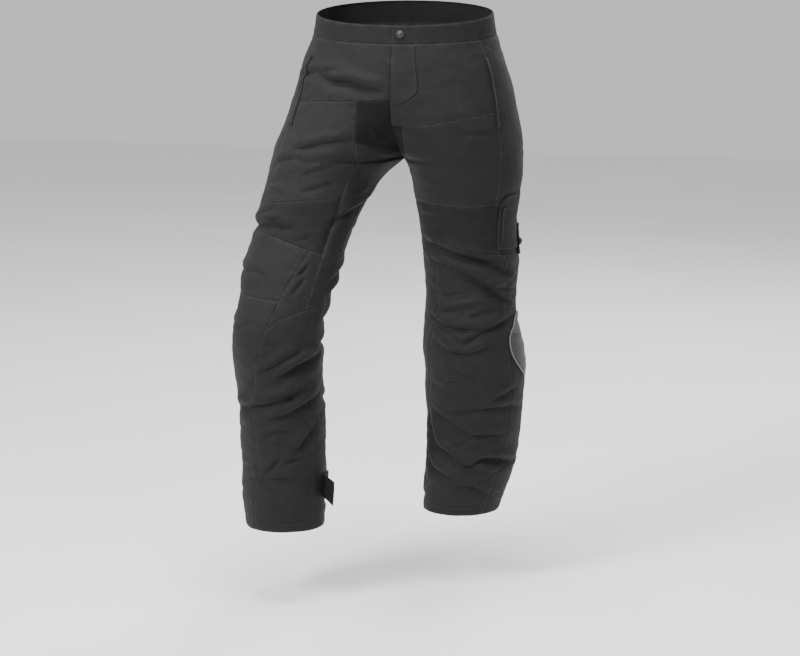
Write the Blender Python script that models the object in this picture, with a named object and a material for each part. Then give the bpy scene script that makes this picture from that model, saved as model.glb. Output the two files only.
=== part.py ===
"""Motorcycle trousers, held in the shape of a standing wearer with the right leg set forward.

The cloth is cut in panels. Every panel is a wall round an empty waist or an empty leg, and every
panel lies on one worked-out surface for its half of the trousers. A place on that surface has two
coordinates: w goes round the leg and d is the depth below the waist, in metres. w is 0 at the
centre front and on the inseam, 0.25 at the front of the leg, 0.5 at its outer side, 0.75 at its
back, and 1 at the centre back, where it meets the inseam again.

Metres, +Z up. The origin is the middle of the waist opening. The front faces -Y, and the
wearer's left side is +X.
"""
import math

import bmesh
import bpy
import numpy as np
from mathutils import Matrix, Vector

# Cloth and seams
WALL = 0.0020                 # shell cloth with its backing
SEAM_GAP = 0.0003             # between two panels that are sewn together
LAID_GAP = 0.0006             # between a panel and what lies on it
OVERLAY = 0.0014              # thickness of a piece that is sewn on top of a panel

# Main depths below the waist
CROTCH = 0.270
HEM = 0.962
BAND = 0.040                  # height of the waistband
CROTCH_BLEND = 0.075          # how far below the crotch the legs keep something of the shared rise
CENTRE_BLEND = 0.30           # share of w over which a half eases on to the centre line
BEGIN_TOP = 0.10              # above this depth each half is exactly half of the body's section
BEGIN_LOW = 0.40              # below this depth w follows the leg's own section
BEGIN_EASE = 0.20             # share of w that takes up the difference in between
WAIST_TILT = 0.14             # rise of the waist's rim for each metre towards the back
WAIST_TILT_DEPTH = 0.16

# Sections of the two halves, read as half widths from the centre line. Columns: depth, outer
# side, inner side, front, back, and the turn of the leg in degrees, all before the turn.
SECTIONS = {
    "right": [
        (0.000, 0.166, -0.166, -0.118, 0.112, 0),
        (0.040, 0.172, -0.172, -0.122, 0.118, 0),
        (0.100, 0.194, -0.188, -0.131, 0.132, 0),
        (0.160, 0.212, -0.140, -0.138, 0.140, 0),
        (0.200, 0.226, -0.075, -0.144, 0.139, 0),
        (0.240, 0.239, -0.020, -0.150, 0.126, 0),
        (0.270, 0.246, 0.000, -0.153, 0.106, -1),
        (0.300, 0.251, 0.033, -0.155, 0.080, -4),
        (0.340, 0.257, 0.059, -0.164, 0.046, -9),
        (0.400, 0.263, 0.083, -0.182, 0.006, -17),
        (0.460, 0.283, 0.097, -0.207, -0.030, -24),
        (0.520, 0.282, 0.114, -0.230, -0.062, -28),
        (0.570, 0.289, 0.123, -0.240, -0.076, -30),
        (0.620, 0.294, 0.126, -0.234, -0.066, -32),
        (0.700, 0.289, 0.129, -0.216, -0.053, -33),
        (0.800, 0.287, 0.129, -0.200, -0.040, -34),
        (0.900, 0.288, 0.132, -0.189, -0.031, -35),
        (0.962, 0.282, 0.138, -0.180, -0.032, -36),
    ],
    "left": [
        (0.000, 0.166, -0.166, -0.118, 0.112, 0),
        (0.040, 0.172, -0.172, -0.122, 0.118, 0),
        (0.100, 0.192, -0.186, -0.131, 0.132, 0),
        (0.160, 0.207, -0.138, -0.133, 0.142, 0),
        (0.200, 0.214, -0.072, -0.127, 0.145, 0),
        (0.240, 0.219, -0.019, -0.116, 0.142, 0),
        (0.270, 0.220, 0.000, -0.107, 0.135, 0),
        (0.300, 0.220, 0.012, -0.100, 0.127, -2),
        (0.340, 0.214, 0.018, -0.086, 0.120, -4),
        (0.400, 0.209, 0.027, -0.074, 0.112, -6),
        (0.460, 0.214, 0.034, -0.070, 0.106, -8),
        (0.520, 0.209, 0.039, -0.066, 0.102, -10),
        (0.570, 0.210, 0.034, -0.064, 0.108, -11),
        (0.620, 0.218, 0.030, -0.060, 0.126, -13),
        (0.700, 0.221, 0.031, -0.042, 0.152, -16),
        (0.800, 0.210, 0.032, -0.022, 0.162, -20),
        (0.900, 0.191, 0.025, -0.006, 0.162, -24),
        (0.962, 0.168, 0.022, 0.006, 0.154, -26),
    ],
}
OUTWARD = {"right": -1.0, "left": 1.0}
SAME = 1e-6                   # two places closer than this are one

# The seam that both halves share, from the centre front through the crotch to the centre back.
# Columns: depth, y of the front line, y of the back line.
RISE = [
    (0.000, -0.118, 0.112),
    (0.040, -0.122, 0.118),
    (0.100, -0.131, 0.132),
    (0.160, -0.132, 0.137),
    (0.200, -0.116, 0.124),
    (0.240, -0.066, 0.078),
    (0.260, -0.034, 0.046),
    (0.270, 0.006, 0.006),
]

# Lengthwise seams. Each row of a line gives a depth and where the seam then lies in w.
SEAMS_DOWN = {
    "right": {
        "centre": [(0.0, 0.0), (HEM, 0.0)],
        "inner": [(0.0, 0.090), (0.14, 0.092), (0.23, 0.095), (0.28, 0.110), (0.34, 0.095),
                  (0.43, 0.070), (0.52, 0.050), (0.62, 0.060), (HEM, 0.070)],
        "shin": [(0.0, 0.170), (0.30, 0.165), (0.42, 0.122), (0.47, 0.139), (0.51, 0.156),
                 (0.58, 0.186), (0.64, 0.206), (0.71, 0.230), (0.76, 0.230), (0.82, 0.218),
                 (0.88, 0.238), (HEM, 0.248)],
        "outer": [(0.0, 0.360), (0.20, 0.362), (0.33, 0.385), (0.45, 0.425), (0.60, 0.450),
                  (HEM, 0.450)],
        "back": [(0.0, 0.600), (0.25, 0.610), (0.60, 0.630), (HEM, 0.620)],
        "end": [(0.0, 1.0), (HEM, 1.0)],
    },
    "left": {
        "centre": [(0.0, 0.0), (HEM, 0.0)],
        "inner": [(0.0, 0.090), (0.10, 0.078), (0.16, 0.050), (0.20, 0.032), (0.24, 0.026),
                  (0.28, 0.028), (0.34, 0.040), (0.43, 0.052), (0.52, 0.045), (0.62, 0.050),
                  (HEM, 0.050)],
        "shin": [(0.0, 0.170), (0.30, 0.185), (0.42, 0.186), (0.49, 0.166), (0.54, 0.178),
                 (0.62, 0.150), (0.75, 0.135), (HEM, 0.135)],
        "outer": [(0.0, 0.360), (0.20, 0.356), (0.33, 0.385), (0.45, 0.430), (0.60, 0.450),
                  (HEM, 0.450)],
        "back": [(0.0, 0.600), (0.25, 0.610), (0.60, 0.650), (HEM, 0.640)],
        "end": [(0.0, 1.0), (HEM, 1.0)],
    },
}

# Seams round the leg. Each row of a line gives a w and the depth of the seam there. From the
# crotch down a line starts and ends at one depth, because both ends meet on the inseam.
SEAMS_ROUND = {
    "right": {
        "top": [(0.0, 0.0), (1.0, 0.0)],
        "band": [(0.0, BAND), (1.0, BAND)],
        "hip": [(0.0, 0.150), (0.14, 0.155), (0.23, 0.157), (0.33, 0.161), (0.60, 0.160),
                (1.0, 0.150)],
        "gusset": [(0.0, CROTCH), (0.05, 0.243), (0.095, 0.228), (0.16, 0.230), (0.27, 0.245),
                   (0.50, 0.250), (0.80, 0.258), (1.0, CROTCH)],
        "stretch": [(0.0, 0.335), (0.10, 0.330), (0.21, 0.334), (0.31, 0.341), (0.50, 0.345),
                    (1.0, 0.335)],
        "knee top": [(0.0, 0.440), (0.12, 0.424), (0.18, 0.413), (0.26, 0.401), (0.34, 0.396),
                     (0.50, 0.400), (1.0, 0.440)],
        "knee low": [(0.0, 0.490), (0.07, 0.505), (0.16, 0.510), (0.22, 0.507), (0.32, 0.505),
                     (0.50, 0.505), (1.0, 0.490)],
        "branch": [(0.0, 0.525), (0.07, 0.530), (0.13, 0.543), (0.18, 0.565), (0.30, 0.575),
                   (0.50, 0.570), (1.0, 0.525)],
        "hem": [(0.0, HEM), (1.0, HEM)],
    },
    "left": {
        "top": [(0.0, 0.0), (1.0, 0.0)],
        "band": [(0.0, BAND), (1.0, BAND)],
        "hip": [(0.0, 0.200), (0.03, 0.198), (0.10, 0.195), (0.15, 0.189), (0.23, 0.181),
                (0.36, 0.172), (0.60, 0.160), (1.0, 0.150)],
        "gusset": [(0.0, CROTCH), (0.05, 0.250), (0.095, 0.240), (0.16, 0.238), (0.27, 0.245),
                   (0.50, 0.250), (0.80, 0.258), (1.0, CROTCH)],
        "stretch": [(0.0, 0.345), (0.20, 0.350), (0.31, 0.352), (0.50, 0.345), (1.0, 0.345)],
        "knee top": [(0.0, 0.425), (0.12, 0.412), (0.19, 0.416), (0.26, 0.429), (0.32, 0.439),
                     (0.42, 0.442), (0.50, 0.438), (1.0, 0.425)],
        "knee low": [(0.0, 0.510), (0.10, 0.528), (0.18, 0.533), (0.26, 0.526), (0.32, 0.522),
                     (0.50, 0.515), (1.0, 0.510)],
        "branch": [(0.0, 0.545), (0.07, 0.555), (0.13, 0.570), (0.18, 0.585), (0.30, 0.590),
                   (0.50, 0.580), (1.0, 0.545)],
        "hem": [(0.0, HEM), (1.0, HEM)],
    },
}

# How many faces lie between one seam line and the next
STEPS_ROUND = {"inner": 3, "shin": 3, "outer": 7, "back": 5, "end": 9}
STEPS_DOWN = {"band": 1, "hip": 5, "gusset": 4, "stretch": 3, "knee top": 4, "knee low": 4,
              "branch": 2, "hem": 17}

# The largest folds. Columns: w and depth where the fold starts, w and depth where it ends, how
# deep the trough is, its half width, how far it bows downwards, how high its lips stand.
FOLDS = {
    "right": [
        (0.325, 0.118, 0.120, 0.103, 0.005, 0.015, -0.006, 0.003),
        (0.280, 0.110, 0.000, 0.142, 0.012, 0.018, 0.002, 0.006),
        (0.290, 0.247, 0.085, 0.224, 0.005, 0.015, -0.004, 0.003),
        (0.400, 0.380, 0.185, 0.390, 0.008, 0.015, -0.002, 0.004),
        (0.380, 0.724, 0.130, 0.698, 0.008, 0.016, 0.004, 0.005),
        (0.220, 0.714, 0.010, 0.652, 0.007, 0.015, 0.004, 0.004),
        (0.120, 0.654, -0.070, 0.610, 0.010, 0.017, 0.000, 0.006),
        (0.185, 0.646, 0.000, 0.598, 0.005, 0.015, 0.000, 0.003),
        (0.150, 0.740, -0.070, 0.692, 0.006, 0.015, 0.000, 0.004),
        (0.075, 0.805, -0.020, 0.755, 0.005, 0.015, 0.000, 0.003),
        (0.190, 0.842, 0.090, 0.810, 0.004, 0.015, 0.000, 0.002),
        (0.980, 0.330, 0.640, 0.300, 0.008, 0.020, 0.010, 0.005),
        (0.930, 0.520, 0.640, 0.492, 0.010, 0.018, -0.004, 0.006),
        (0.900, 0.556, 0.650, 0.552, 0.008, 0.017, 0.004, 0.005),
        (0.900, 0.610, 0.640, 0.650, 0.008, 0.018, 0.000, 0.005),
        (0.880, 0.715, 0.560, 0.745, 0.008, 0.018, 0.004, 0.005),
        (0.840, 0.840, 0.600, 0.815, 0.006, 0.018, 0.004, 0.003),
    ],
    "left": [
        (0.100, 0.419, 0.440, 0.480, 0.010, 0.016, 0.002, 0.006),
        (0.230, 0.474, 0.440, 0.534, 0.009, 0.016, 0.000, 0.005),
        (0.150, 0.560, 0.370, 0.576, 0.007, 0.015, 0.014, 0.004),
        (0.270, 0.612, 0.460, 0.566, 0.006, 0.015, 0.002, 0.003),
        (0.190, 0.612, 0.380, 0.608, 0.007, 0.015, 0.018, 0.004),
        (0.190, 0.756, 0.540, 0.750, 0.005, 0.015, 0.002, 0.003),
        (0.170, 0.748, 0.330, 0.790, 0.006, 0.015, 0.000, 0.003),
        (0.240, 0.784, 0.450, 0.798, 0.005, 0.015, 0.006, 0.003),
        (0.140, 0.795, 0.350, 0.866, 0.009, 0.016, 0.003, 0.005),
        (0.310, 0.864, 0.550, 0.852, 0.008, 0.016, 0.002, 0.005),
        (0.130, 0.828, 0.340, 0.895, 0.006, 0.015, 0.004, 0.003),
        (0.980, 0.340, 0.640, 0.310, 0.009, 0.020, 0.012, 0.005),
        (0.940, 0.480, 0.640, 0.505, 0.010, 0.018, 0.000, 0.006),
        (0.920, 0.530, 0.660, 0.545, 0.009, 0.017, 0.004, 0.005),
        (0.900, 0.640, 0.660, 0.610, 0.008, 0.018, 0.004, 0.005),
        (0.900, 0.742, 0.600, 0.770, 0.008, 0.018, 0.003, 0.005),
        (0.840, 0.826, 0.620, 0.806, 0.006, 0.018, 0.005, 0.003),
    ],
}
LIP = 1.7                     # distance of a fold's lips from its trough, in half widths
FOLD_CLEAR = 0.015            # no fold pushes the cloth about this close to the waist
CENTRE_HOLD = 0.03            # share of w over which the shared seam holds the folds flat

# The leaf at the outer knee. Its two edges are arcs in w between its tips.
LEAF_TOP = 0.556
LEAF_LOW = 0.690
LEAF_TIP_W = 0.548
LEAF_FRONT_BULGE = 0.092      # how far the front edge swings from the line of the tips, in w
LEAF_BACK_BULGE = 0.052
LEAF_PEAK = 0.42              # where the front edge is widest, as a share of the leaf's height
LEAF_BLUNT = 0.03             # share of the height that is cut off at each tip
HEM_OVER = 0.0003             # an edge that is turned under lifts a laid piece a little more
PIPING_WIDTH = 0.0030
PIPING_HEIGHT = 0.0022

# Pieces that lie flat on the cloth, from their own edges. Columns: w of the front and the back
# edge, upper and lower depth, thickness.
FLY = (0.004, 0.078, 0.044, 0.158, 0.0020)
HIP_ZIP = (0.334, 0.356, 0.076, 0.204, 0.0016)
THIGH_POCKET = (0.396, 0.505, 0.330, 0.434, 0.0016)
POCKET_ZIP = (0.402, 0.420, 0.352, 0.420, 0.0014)
THIGH_TAB = {"right": (0.550, 0.584, 0.392, 0.450, 0.0030),
             "left": (0.516, 0.550, 0.392, 0.450, 0.0030)}
TAB_SNAP_DEPTH = 0.426
FLY_CURVE = 0.030             # height over which the fly's outer edge curves in to its foot
FLY_FOOT = 0.25               # width of that foot, as a share of the fly's width
POCKET_ROUND = 0.022          # radius of the pocket's upper front corner

# The strap at the hem, laid on the back calf, with an end that stands off the leg
STRAP_W = (0.860, 0.975)
STRAP_D = (0.858, 0.902)
STRAP_FREE_FROM = 0.925
STRAP_STAND = {"right": 0.040, "left": 0.012}
STRAP_THICK = 0.0025

# Snaps: a round cap on the cloth
SNAP_RADIUS = 0.0072
SNAP_HEIGHT = 0.0045
SNAP_TAPER = 0.86             # radius of the cap's top, as a share of its foot
SNAP_SIDES = 20
WAIST_SNAP_PLACE = (0.030, 0.020)

# Colours: red, green, blue, roughness
SHELL_CLOTH = (0.026, 0.026, 0.028, 0.78)
STRETCH_CLOTH = (0.021, 0.021, 0.023, 0.85)
BAND_CLOTH = (0.023, 0.023, 0.025, 0.80)
LEAF_CLOTH = (0.105, 0.105, 0.112, 0.55)
PIPING = (0.240, 0.240, 0.250, 0.45)
ZIP_TAPE = (0.012, 0.012, 0.013, 0.60)
STRAP = (0.008, 0.008, 0.009, 0.70)
SNAP = (0.050, 0.050, 0.053, 0.35)


def hermite(rows, key, column):
    """A smooth curve through one column of a table, read at key."""
    x = np.array([row[0] for row in rows], float)
    y = np.array([row[column] for row in rows], float)
    slope = np.gradient(y, x)
    k = np.clip(np.searchsorted(x, key, side="right") - 1, 0, len(x) - 2)
    span = x[k + 1] - x[k]
    t = np.clip((key - x[k]) / span, 0, 1)
    start = (1 + 2 * t) * (1 - t) ** 2 * y[k] + t * (1 - t) ** 2 * span * slope[k]
    return start + t * t * (3 - 2 * t) * y[k + 1] + t * t * (t - 1) * span * slope[k + 1]


def straight(rows, key):
    """A table of two columns, read between its rows."""
    return np.interp(key, [row[0] for row in rows], [row[1] for row in rows])


def smooth_step(value, low, high):
    t = np.clip((value - low) / (high - low), 0, 1)
    return t * t * (3 - 2 * t)


def form(side, w, d):
    """The place of (w, d) on one half, before any fold."""
    w, d = np.broadcast_arrays(np.asarray(w, float), np.asarray(d, float))
    out = OUTWARD[side]
    outer, inner, front, back, turn = [hermite(SECTIONS[side], d, k) for k in range(1, 6)]
    x, a = (outer + inner) / 2, (outer - inner) / 2
    y, b = (back + front) / 2, (back - front) / 2
    turn = np.radians(turn)

    def ellipse(angle):
        ahead, across = -a * np.cos(angle), -b * np.sin(angle)
        return (out * x + ahead * out * np.cos(turn) - across * np.sin(turn),
                y + ahead * out * np.sin(turn) + across * np.cos(turn))

    # The part of the ellipse past the centre line belongs to the other half, so a half starts
    # at the angle begin. Inner columns take up its sudden end at the crotch.
    begin = np.where(d < CROTCH, np.arccos(np.clip(x / a, -1, 1)), 0.0)
    eased = np.pi / 2 * (1 - smooth_step(d, BEGIN_TOP, BEGIN_LOW))
    near = np.clip(1 - w / BEGIN_EASE, 0, 1) ** 2 - np.clip(1 - (1 - w) / BEGIN_EASE, 0, 1) ** 2
    angle = eased * (1 - 2 * w) + 2 * np.pi * w + (begin - eased) * near
    px, py = ellipse(angle)

    # Close to the centre line both halves ease on to the rise that they share.
    front_x, front_y = ellipse(begin)
    back_x, back_y = ellipse(2 * np.pi - begin)
    capped = np.minimum(d, CROTCH)
    fade = np.clip(1 - (d - CROTCH) / CROTCH_BLEND, 0, 1) ** 2
    at_front = np.clip(1 - w / CENTRE_BLEND, 0, 1) ** 2 * fade
    at_back = np.clip(1 - (1 - w) / CENTRE_BLEND, 0, 1) ** 2 * fade
    centre = np.where(d < CROTCH, 0.0, out * inner)
    px = px + at_front * (centre - front_x) + at_back * (centre - back_x)
    py = (py + at_front * (hermite(RISE, capped, 1) - front_y)
          + at_back * (hermite(RISE, capped, 2) - back_y))
    tilt = WAIST_TILT * np.clip(1 - d / WAIST_TILT_DEPTH, 0, 1) ** 2
    return np.stack([px, py, -d + tilt * py], axis=-1)


def girth(side, depth):
    """How far it is round one half at a depth, from w = 0 to w = 1."""
    ring = form(side, np.linspace(0, 1, 49), depth)
    return float(np.linalg.norm(np.diff(ring, axis=0), axis=1).sum())


def fold_height(side, w, d):
    """How far the folds move the cloth out, in metres. A trough is negative."""
    height = np.zeros(np.broadcast(w, d).shape)
    for w0, d0, w1, d1, depth, half, bow, lip in FOLDS[side]:
        around = girth(side, (d0 + d1) / 2)
        step = w - w0
        if min(d0, d1) > CROTCH:
            middle = (w1 - w0) / 2
            step = np.where(d > CROTCH, (step - middle + 0.5) % 1.0 - 0.5 + middle, step)
        run, drop = (w1 - w0) * around, d1 - d0
        length = math.hypot(run, drop)
        x, y = step * around, d - d0
        t = (x * run + y * drop) / length ** 2
        off = (y * abs(run) - x * drop * np.sign(run)) / length - bow * 4 * t * (1 - t)
        taper = np.clip(1 - (2 * t - 1) ** 2, 0, 1) ** 0.8
        trough = -depth * np.exp(-(off / half) ** 2)
        upper = lip * np.exp(-((off + LIP * half) / half) ** 2)
        lower = 0.5 * lip * np.exp(-((off - LIP * half) / half) ** 2)
        height = height + taper * (trough + upper + lower)
    held = smooth_step(np.minimum(w, 1 - w), 0, CENTRE_HOLD)
    held = np.maximum(held, smooth_step(d, CROTCH + 0.01, CROTCH + 0.04))
    return height * held * smooth_step(d, FOLD_CLEAR, 4 * FOLD_CLEAR)


def normal(side, w, d, place):
    """Outward directions of the surface that place gives, alike on both sides of a seam."""
    nudge = 1e-4
    w, d = np.broadcast_arrays(np.asarray(w, float), np.asarray(d, float))
    along_w = place(side, np.minimum(w + nudge, 1), d) - place(side, np.maximum(w - nudge, 0), d)
    along_d = place(side, w, np.minimum(d + nudge, HEM)) - place(side, w, np.maximum(d - nudge, 0))
    out = np.cross(along_d, along_w) * OUTWARD[side]
    out = out / np.linalg.norm(out, axis=-1, keepdims=True)
    on_centre = (np.minimum(w, 1 - w) < SAME) & (d < CROTCH + SAME)
    out[..., 0] = np.where(on_centre, 0.0, out[..., 0])
    crotch = on_centre & (d > CROTCH - SAME)
    out[crotch] = (0.0, 0.0, -1.0)
    return out / np.linalg.norm(out, axis=-1, keepdims=True)


def worn(side, w, d):
    """The outer face of the cloth with its folds."""
    plain = form(side, w, d)
    return plain + normal(side, w, d, form) * fold_height(side, w, d)[..., None]


def grid_numbers(lines, steps):
    """Where each seam line lies in the grid, counted in faces."""
    numbers = {}
    total = 0
    for line in lines:
        total += steps.get(line, 0)
        numbers[line] = total
    return numbers, total


def between(lines, steps, order, read):
    """The value of every grid line, worked out from the seam lines on either side of it."""
    rows = []
    for earlier, later in zip(order[:-1], order[1:]):
        for step in range(steps[later]):
            share = step / steps[later]
            rows.append(read(lines[earlier]) * (1 - share) + read(lines[later]) * share)
    rows.append(read(lines[order[-1]]))
    return rows


def cut_grid(side):
    """The w and d of every grid point of one half, with grid lines along all its seams."""
    down, around = SEAMS_DOWN[side], SEAMS_ROUND[side]
    columns, column_count = grid_numbers(down, STEPS_ROUND)
    rows, row_count = grid_numbers(around, STEPS_DOWN)
    w = np.broadcast_to(np.linspace(0, 1, column_count + 1), (row_count + 1, column_count + 1))
    for _ in range(12):
        by_row = between(around, STEPS_DOWN, list(around), lambda line: straight(line, w))
        d = np.stack([by_row[k][k] for k in range(row_count + 1)])
        by_column = between(down, STEPS_ROUND, list(down), lambda line: hermite(line, d, 1))
        w = np.stack([by_column[k][:, k] for k in range(column_count + 1)], axis=1)
    return w, d, columns, rows


def material(name, colour):
    made = bpy.data.materials.new(name)
    made.use_nodes = True
    shader = made.node_tree.nodes["Principled BSDF"]
    shader.inputs["Base Color"].default_value = (*colour[:3], 1.0)
    shader.inputs["Roughness"].default_value = colour[3]
    shader.inputs["Metallic"].default_value = 0.0
    return made


def finish(name, bm, colour):
    """A closed mesh becomes a named object with a material of its own."""
    bmesh.ops.recalc_face_normals(bm, faces=bm.faces[:])
    if bm.calc_volume(signed=True) < 0:
        bmesh.ops.reverse_faces(bm, faces=bm.faces[:])
    mesh = bpy.data.meshes.new(name)
    bm.to_mesh(mesh)
    bm.free()
    thing = bpy.data.objects.new(name, mesh)
    thing.data.materials.append(material(name + "_finish", colour))
    bpy.data.collections["motorcycle_trousers"].objects.link(thing)
    mesh.shade_smooth()
    return thing


def cloth(name, outer, inner, colour):
    """A wall between two grids of points. The outer grid is laid, then extruded to the inner."""
    rows, columns = outer.shape[:2]
    bm = bmesh.new()
    bmesh.ops.create_grid(bm, x_segments=columns - 1, y_segments=rows - 1, size=0.5)
    row_of = bm.verts.layers.int.new("row")
    column_of = bm.verts.layers.int.new("column")
    for vertex in bm.verts:
        vertex[column_of] = round((vertex.co.x + 0.5) * (columns - 1))
        vertex[row_of] = round((vertex.co.y + 0.5) * (rows - 1))
        vertex.co = outer[vertex[row_of], vertex[column_of]]
    bmesh.ops.triangulate(bm, faces=bm.faces[:], quad_method="SHORT_EDGE")
    fresh = bmesh.ops.extrude_face_region(bm, geom=bm.faces[:], use_keep_orig=True)["geom"]
    for vertex in fresh:
        if isinstance(vertex, bmesh.types.BMVert):
            vertex.co = inner[vertex[row_of], vertex[column_of]]
    bmesh.ops.triangulate(bm, faces=bm.faces[:], quad_method="SHORT_EDGE")
    return finish(name, bm, colour)


def pulled_in(points):
    """Moves the rim of a grid of points inwards, square to the rim, by half the seam gap."""
    moved = points.copy()
    for rim, next_in in ((0, 1), (-1, -2)):
        for flip in (False, True):
            grid = points.swapaxes(0, 1) if flip else points
            target = moved.swapaxes(0, 1) if flip else moved
            inward = grid[next_in] - grid[rim]
            inward = inward / np.linalg.norm(inward, axis=1, keepdims=True)
            rim_way = np.gradient(grid[rim], axis=0)
            rim_way = rim_way / np.linalg.norm(rim_way, axis=1, keepdims=True)
            slant = np.sqrt(np.maximum(1 - (inward * rim_way).sum(axis=1) ** 2, 0.25))
            target[rim] += inward * (SEAM_GAP / 2 / slant)[:, None]
    return moved


def panel(name, points, normals, colour):
    """One cut piece of cloth: its outer face is on the surface and its wall goes inwards."""
    rim = pulled_in(points)
    return cloth(name, rim, rim - normals * WALL, colour)


class Half:
    """One half of the trousers: its grid of places, with the seams as named grid lines."""

    def __init__(self, side):
        self.side = side
        self.w, self.d, self.columns, self.rows = cut_grid(side)
        self.points = worn(side, self.w, self.d)
        self.normals = normal(side, self.w, self.d, worn)
        below = self.d[:, 0] > CROTCH + SAME
        shared = self.normals[below, 0] + self.normals[below, -1]
        shared = shared / np.linalg.norm(shared, axis=1, keepdims=True)
        self.normals[below, 0] = shared
        self.normals[below, -1] = shared

    def piece(self, left, right, top, low):
        """The part of the grid between two lengthwise seams and two seams round the leg."""
        rows = slice(self.rows[top], self.rows[low] + 1)
        columns = slice(self.columns[left], self.columns[right] + 1)
        return self.points[rows, columns], self.normals[rows, columns]


# Panels of one half. Columns: name, its two lengthwise seams, its upper and lower seam, cloth.
PANELS = [
    ("waistband_front", "centre", "back", "top", "band", BAND_CLOTH),
    ("hip_front", "centre", "outer", "band", "hip", SHELL_CLOTH),
    ("crotch_gusset", "centre", "inner", "hip", "gusset", STRETCH_CLOTH),
    ("thigh_front", "inner", "outer", "hip", "stretch", SHELL_CLOTH),
    ("inner_thigh", "centre", "inner", "gusset", "branch", SHELL_CLOTH),
    ("stretch_above_knee", "inner", "outer", "stretch", "knee top", STRETCH_CLOTH),
    ("inner_knee_patch", "inner", "shin", "knee top", "branch", SHELL_CLOTH),
    ("knee_panel", "shin", "outer", "knee top", "knee low", SHELL_CLOTH),
    ("shin_panel", "shin", "outer", "knee low", "hem", SHELL_CLOTH),
    ("inner_calf", "centre", "shin", "branch", "hem", SHELL_CLOTH),
    ("outer_thigh", "outer", "back", "band", "knee top", SHELL_CLOTH),
    ("outer_calf", "outer", "back", "knee top", "hem", SHELL_CLOTH),
    ("seat_and_back_thigh", "back", "end", "band", "knee top", SHELL_CLOTH),
    ("back_calf", "back", "end", "knee top", "hem", SHELL_CLOTH),
]


def make_panels(half):
    for name, left, right, top, low, colour in PANELS:
        points, normals = half.piece(left, right, top, low)
        panel(f"{name}_{half.side}", points, normals, colour)


def make_back_waistband(right, left):
    """One strip round the back of both halves."""
    points_r, normals_r = right.piece("back", "end", "top", "band")
    points_l, normals_l = left.piece("back", "end", "top", "band")
    middle = (normals_r[:, -1:] + normals_l[:, -1:]) / 2
    points = np.concatenate([points_r, points_l[:, -2::-1]], axis=1)
    normals = np.concatenate([normals_r[:, :-1], middle, normals_l[:, -2::-1]], axis=1)
    panel("waistband_back", points, normals, BAND_CLOTH)


def laid(name, side, w, d, thickness, colour, lift=0.0, over=0.0):
    """A piece sewn on a panel, made from the panel's own surface and moved out."""
    w, d = np.broadcast_arrays(w, d)
    points = worn(side, w, d)
    normals = normal(side, w, d, worn)
    low = (LAID_GAP + over + np.asarray(lift, float))
    low = np.broadcast_to(low, w.shape)[..., None]
    return cloth(name, points + normals * (low + thickness), points + normals * low, colour)


def patch(size, columns, rows):
    """Even w and d values over a piece given by its edges."""
    w0, w1, d0, d1, _ = size
    return (np.broadcast_to(np.linspace(w0, w1, columns + 1), (rows + 1, columns + 1)),
            np.broadcast_to(np.linspace(d0, d1, rows + 1)[:, None], (rows + 1, columns + 1)))


def make_fly():
    """The fly's flap lies on the left front and curves in to the centre line at its foot."""
    w, d = patch(FLY, 4, 10)
    share = np.clip((d - (FLY[3] - FLY_CURVE)) / FLY_CURVE, 0, 1)
    narrow = 1 - (1 - FLY_FOOT) * share ** 2
    laid("fly_placket", "left", FLY[0] + (w - FLY[0]) * narrow, d, FLY[4], SHELL_CLOTH)


def make_hip_zip(side):
    w, d = patch(HIP_ZIP, 1, 12)
    laid(f"hip_zip_{side}", side, w, d, HIP_ZIP[4], ZIP_TAPE)


def make_thigh_pocket(side):
    """A pocket with a rounded upper front corner, and its closed zip near the front edge.

    Only the left thigh has one.
    """
    w, d = patch(THIGH_POCKET, 6, 10)
    around = girth(side, THIGH_POCKET[2])
    down = np.clip((d - THIGH_POCKET[2]) / POCKET_ROUND, 0, 1)
    corner = POCKET_ROUND / around * (1 - np.sqrt(1 - (1 - down) ** 2))
    w = w + corner * (THIGH_POCKET[1] - w) / (THIGH_POCKET[1] - THIGH_POCKET[0])
    laid(f"thigh_pocket_{side}", side, w, d, THIGH_POCKET[4], SHELL_CLOTH, over=HEM_OVER)
    w, d = patch(POCKET_ZIP, 1, 6)
    over = THIGH_POCKET[4] + LAID_GAP + HEM_OVER
    laid(f"thigh_pocket_zip_{side}", side, w, d, POCKET_ZIP[4], ZIP_TAPE, over=over)


def make_thigh_tab(side):
    tab = THIGH_TAB[side]
    w, d = patch(tab, 2, 5)
    laid(f"thigh_tab_{side}", side, w, d, tab[4], STRAP)
    snap(f"thigh_tab_snap_{side}", side, ((tab[0] + tab[1]) / 2, TAB_SNAP_DEPTH), tab[4] + LAID_GAP)


def leaf_edge(share, bulge):
    """How far one edge of the leaf swings out, at a share of the leaf's height."""
    bent = np.where(share < LEAF_PEAK, share / LEAF_PEAK / 2,
                    0.5 + (share - LEAF_PEAK) / (1 - LEAF_PEAK) / 2)
    return bulge * np.sin(np.pi * bent) ** 0.8


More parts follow.
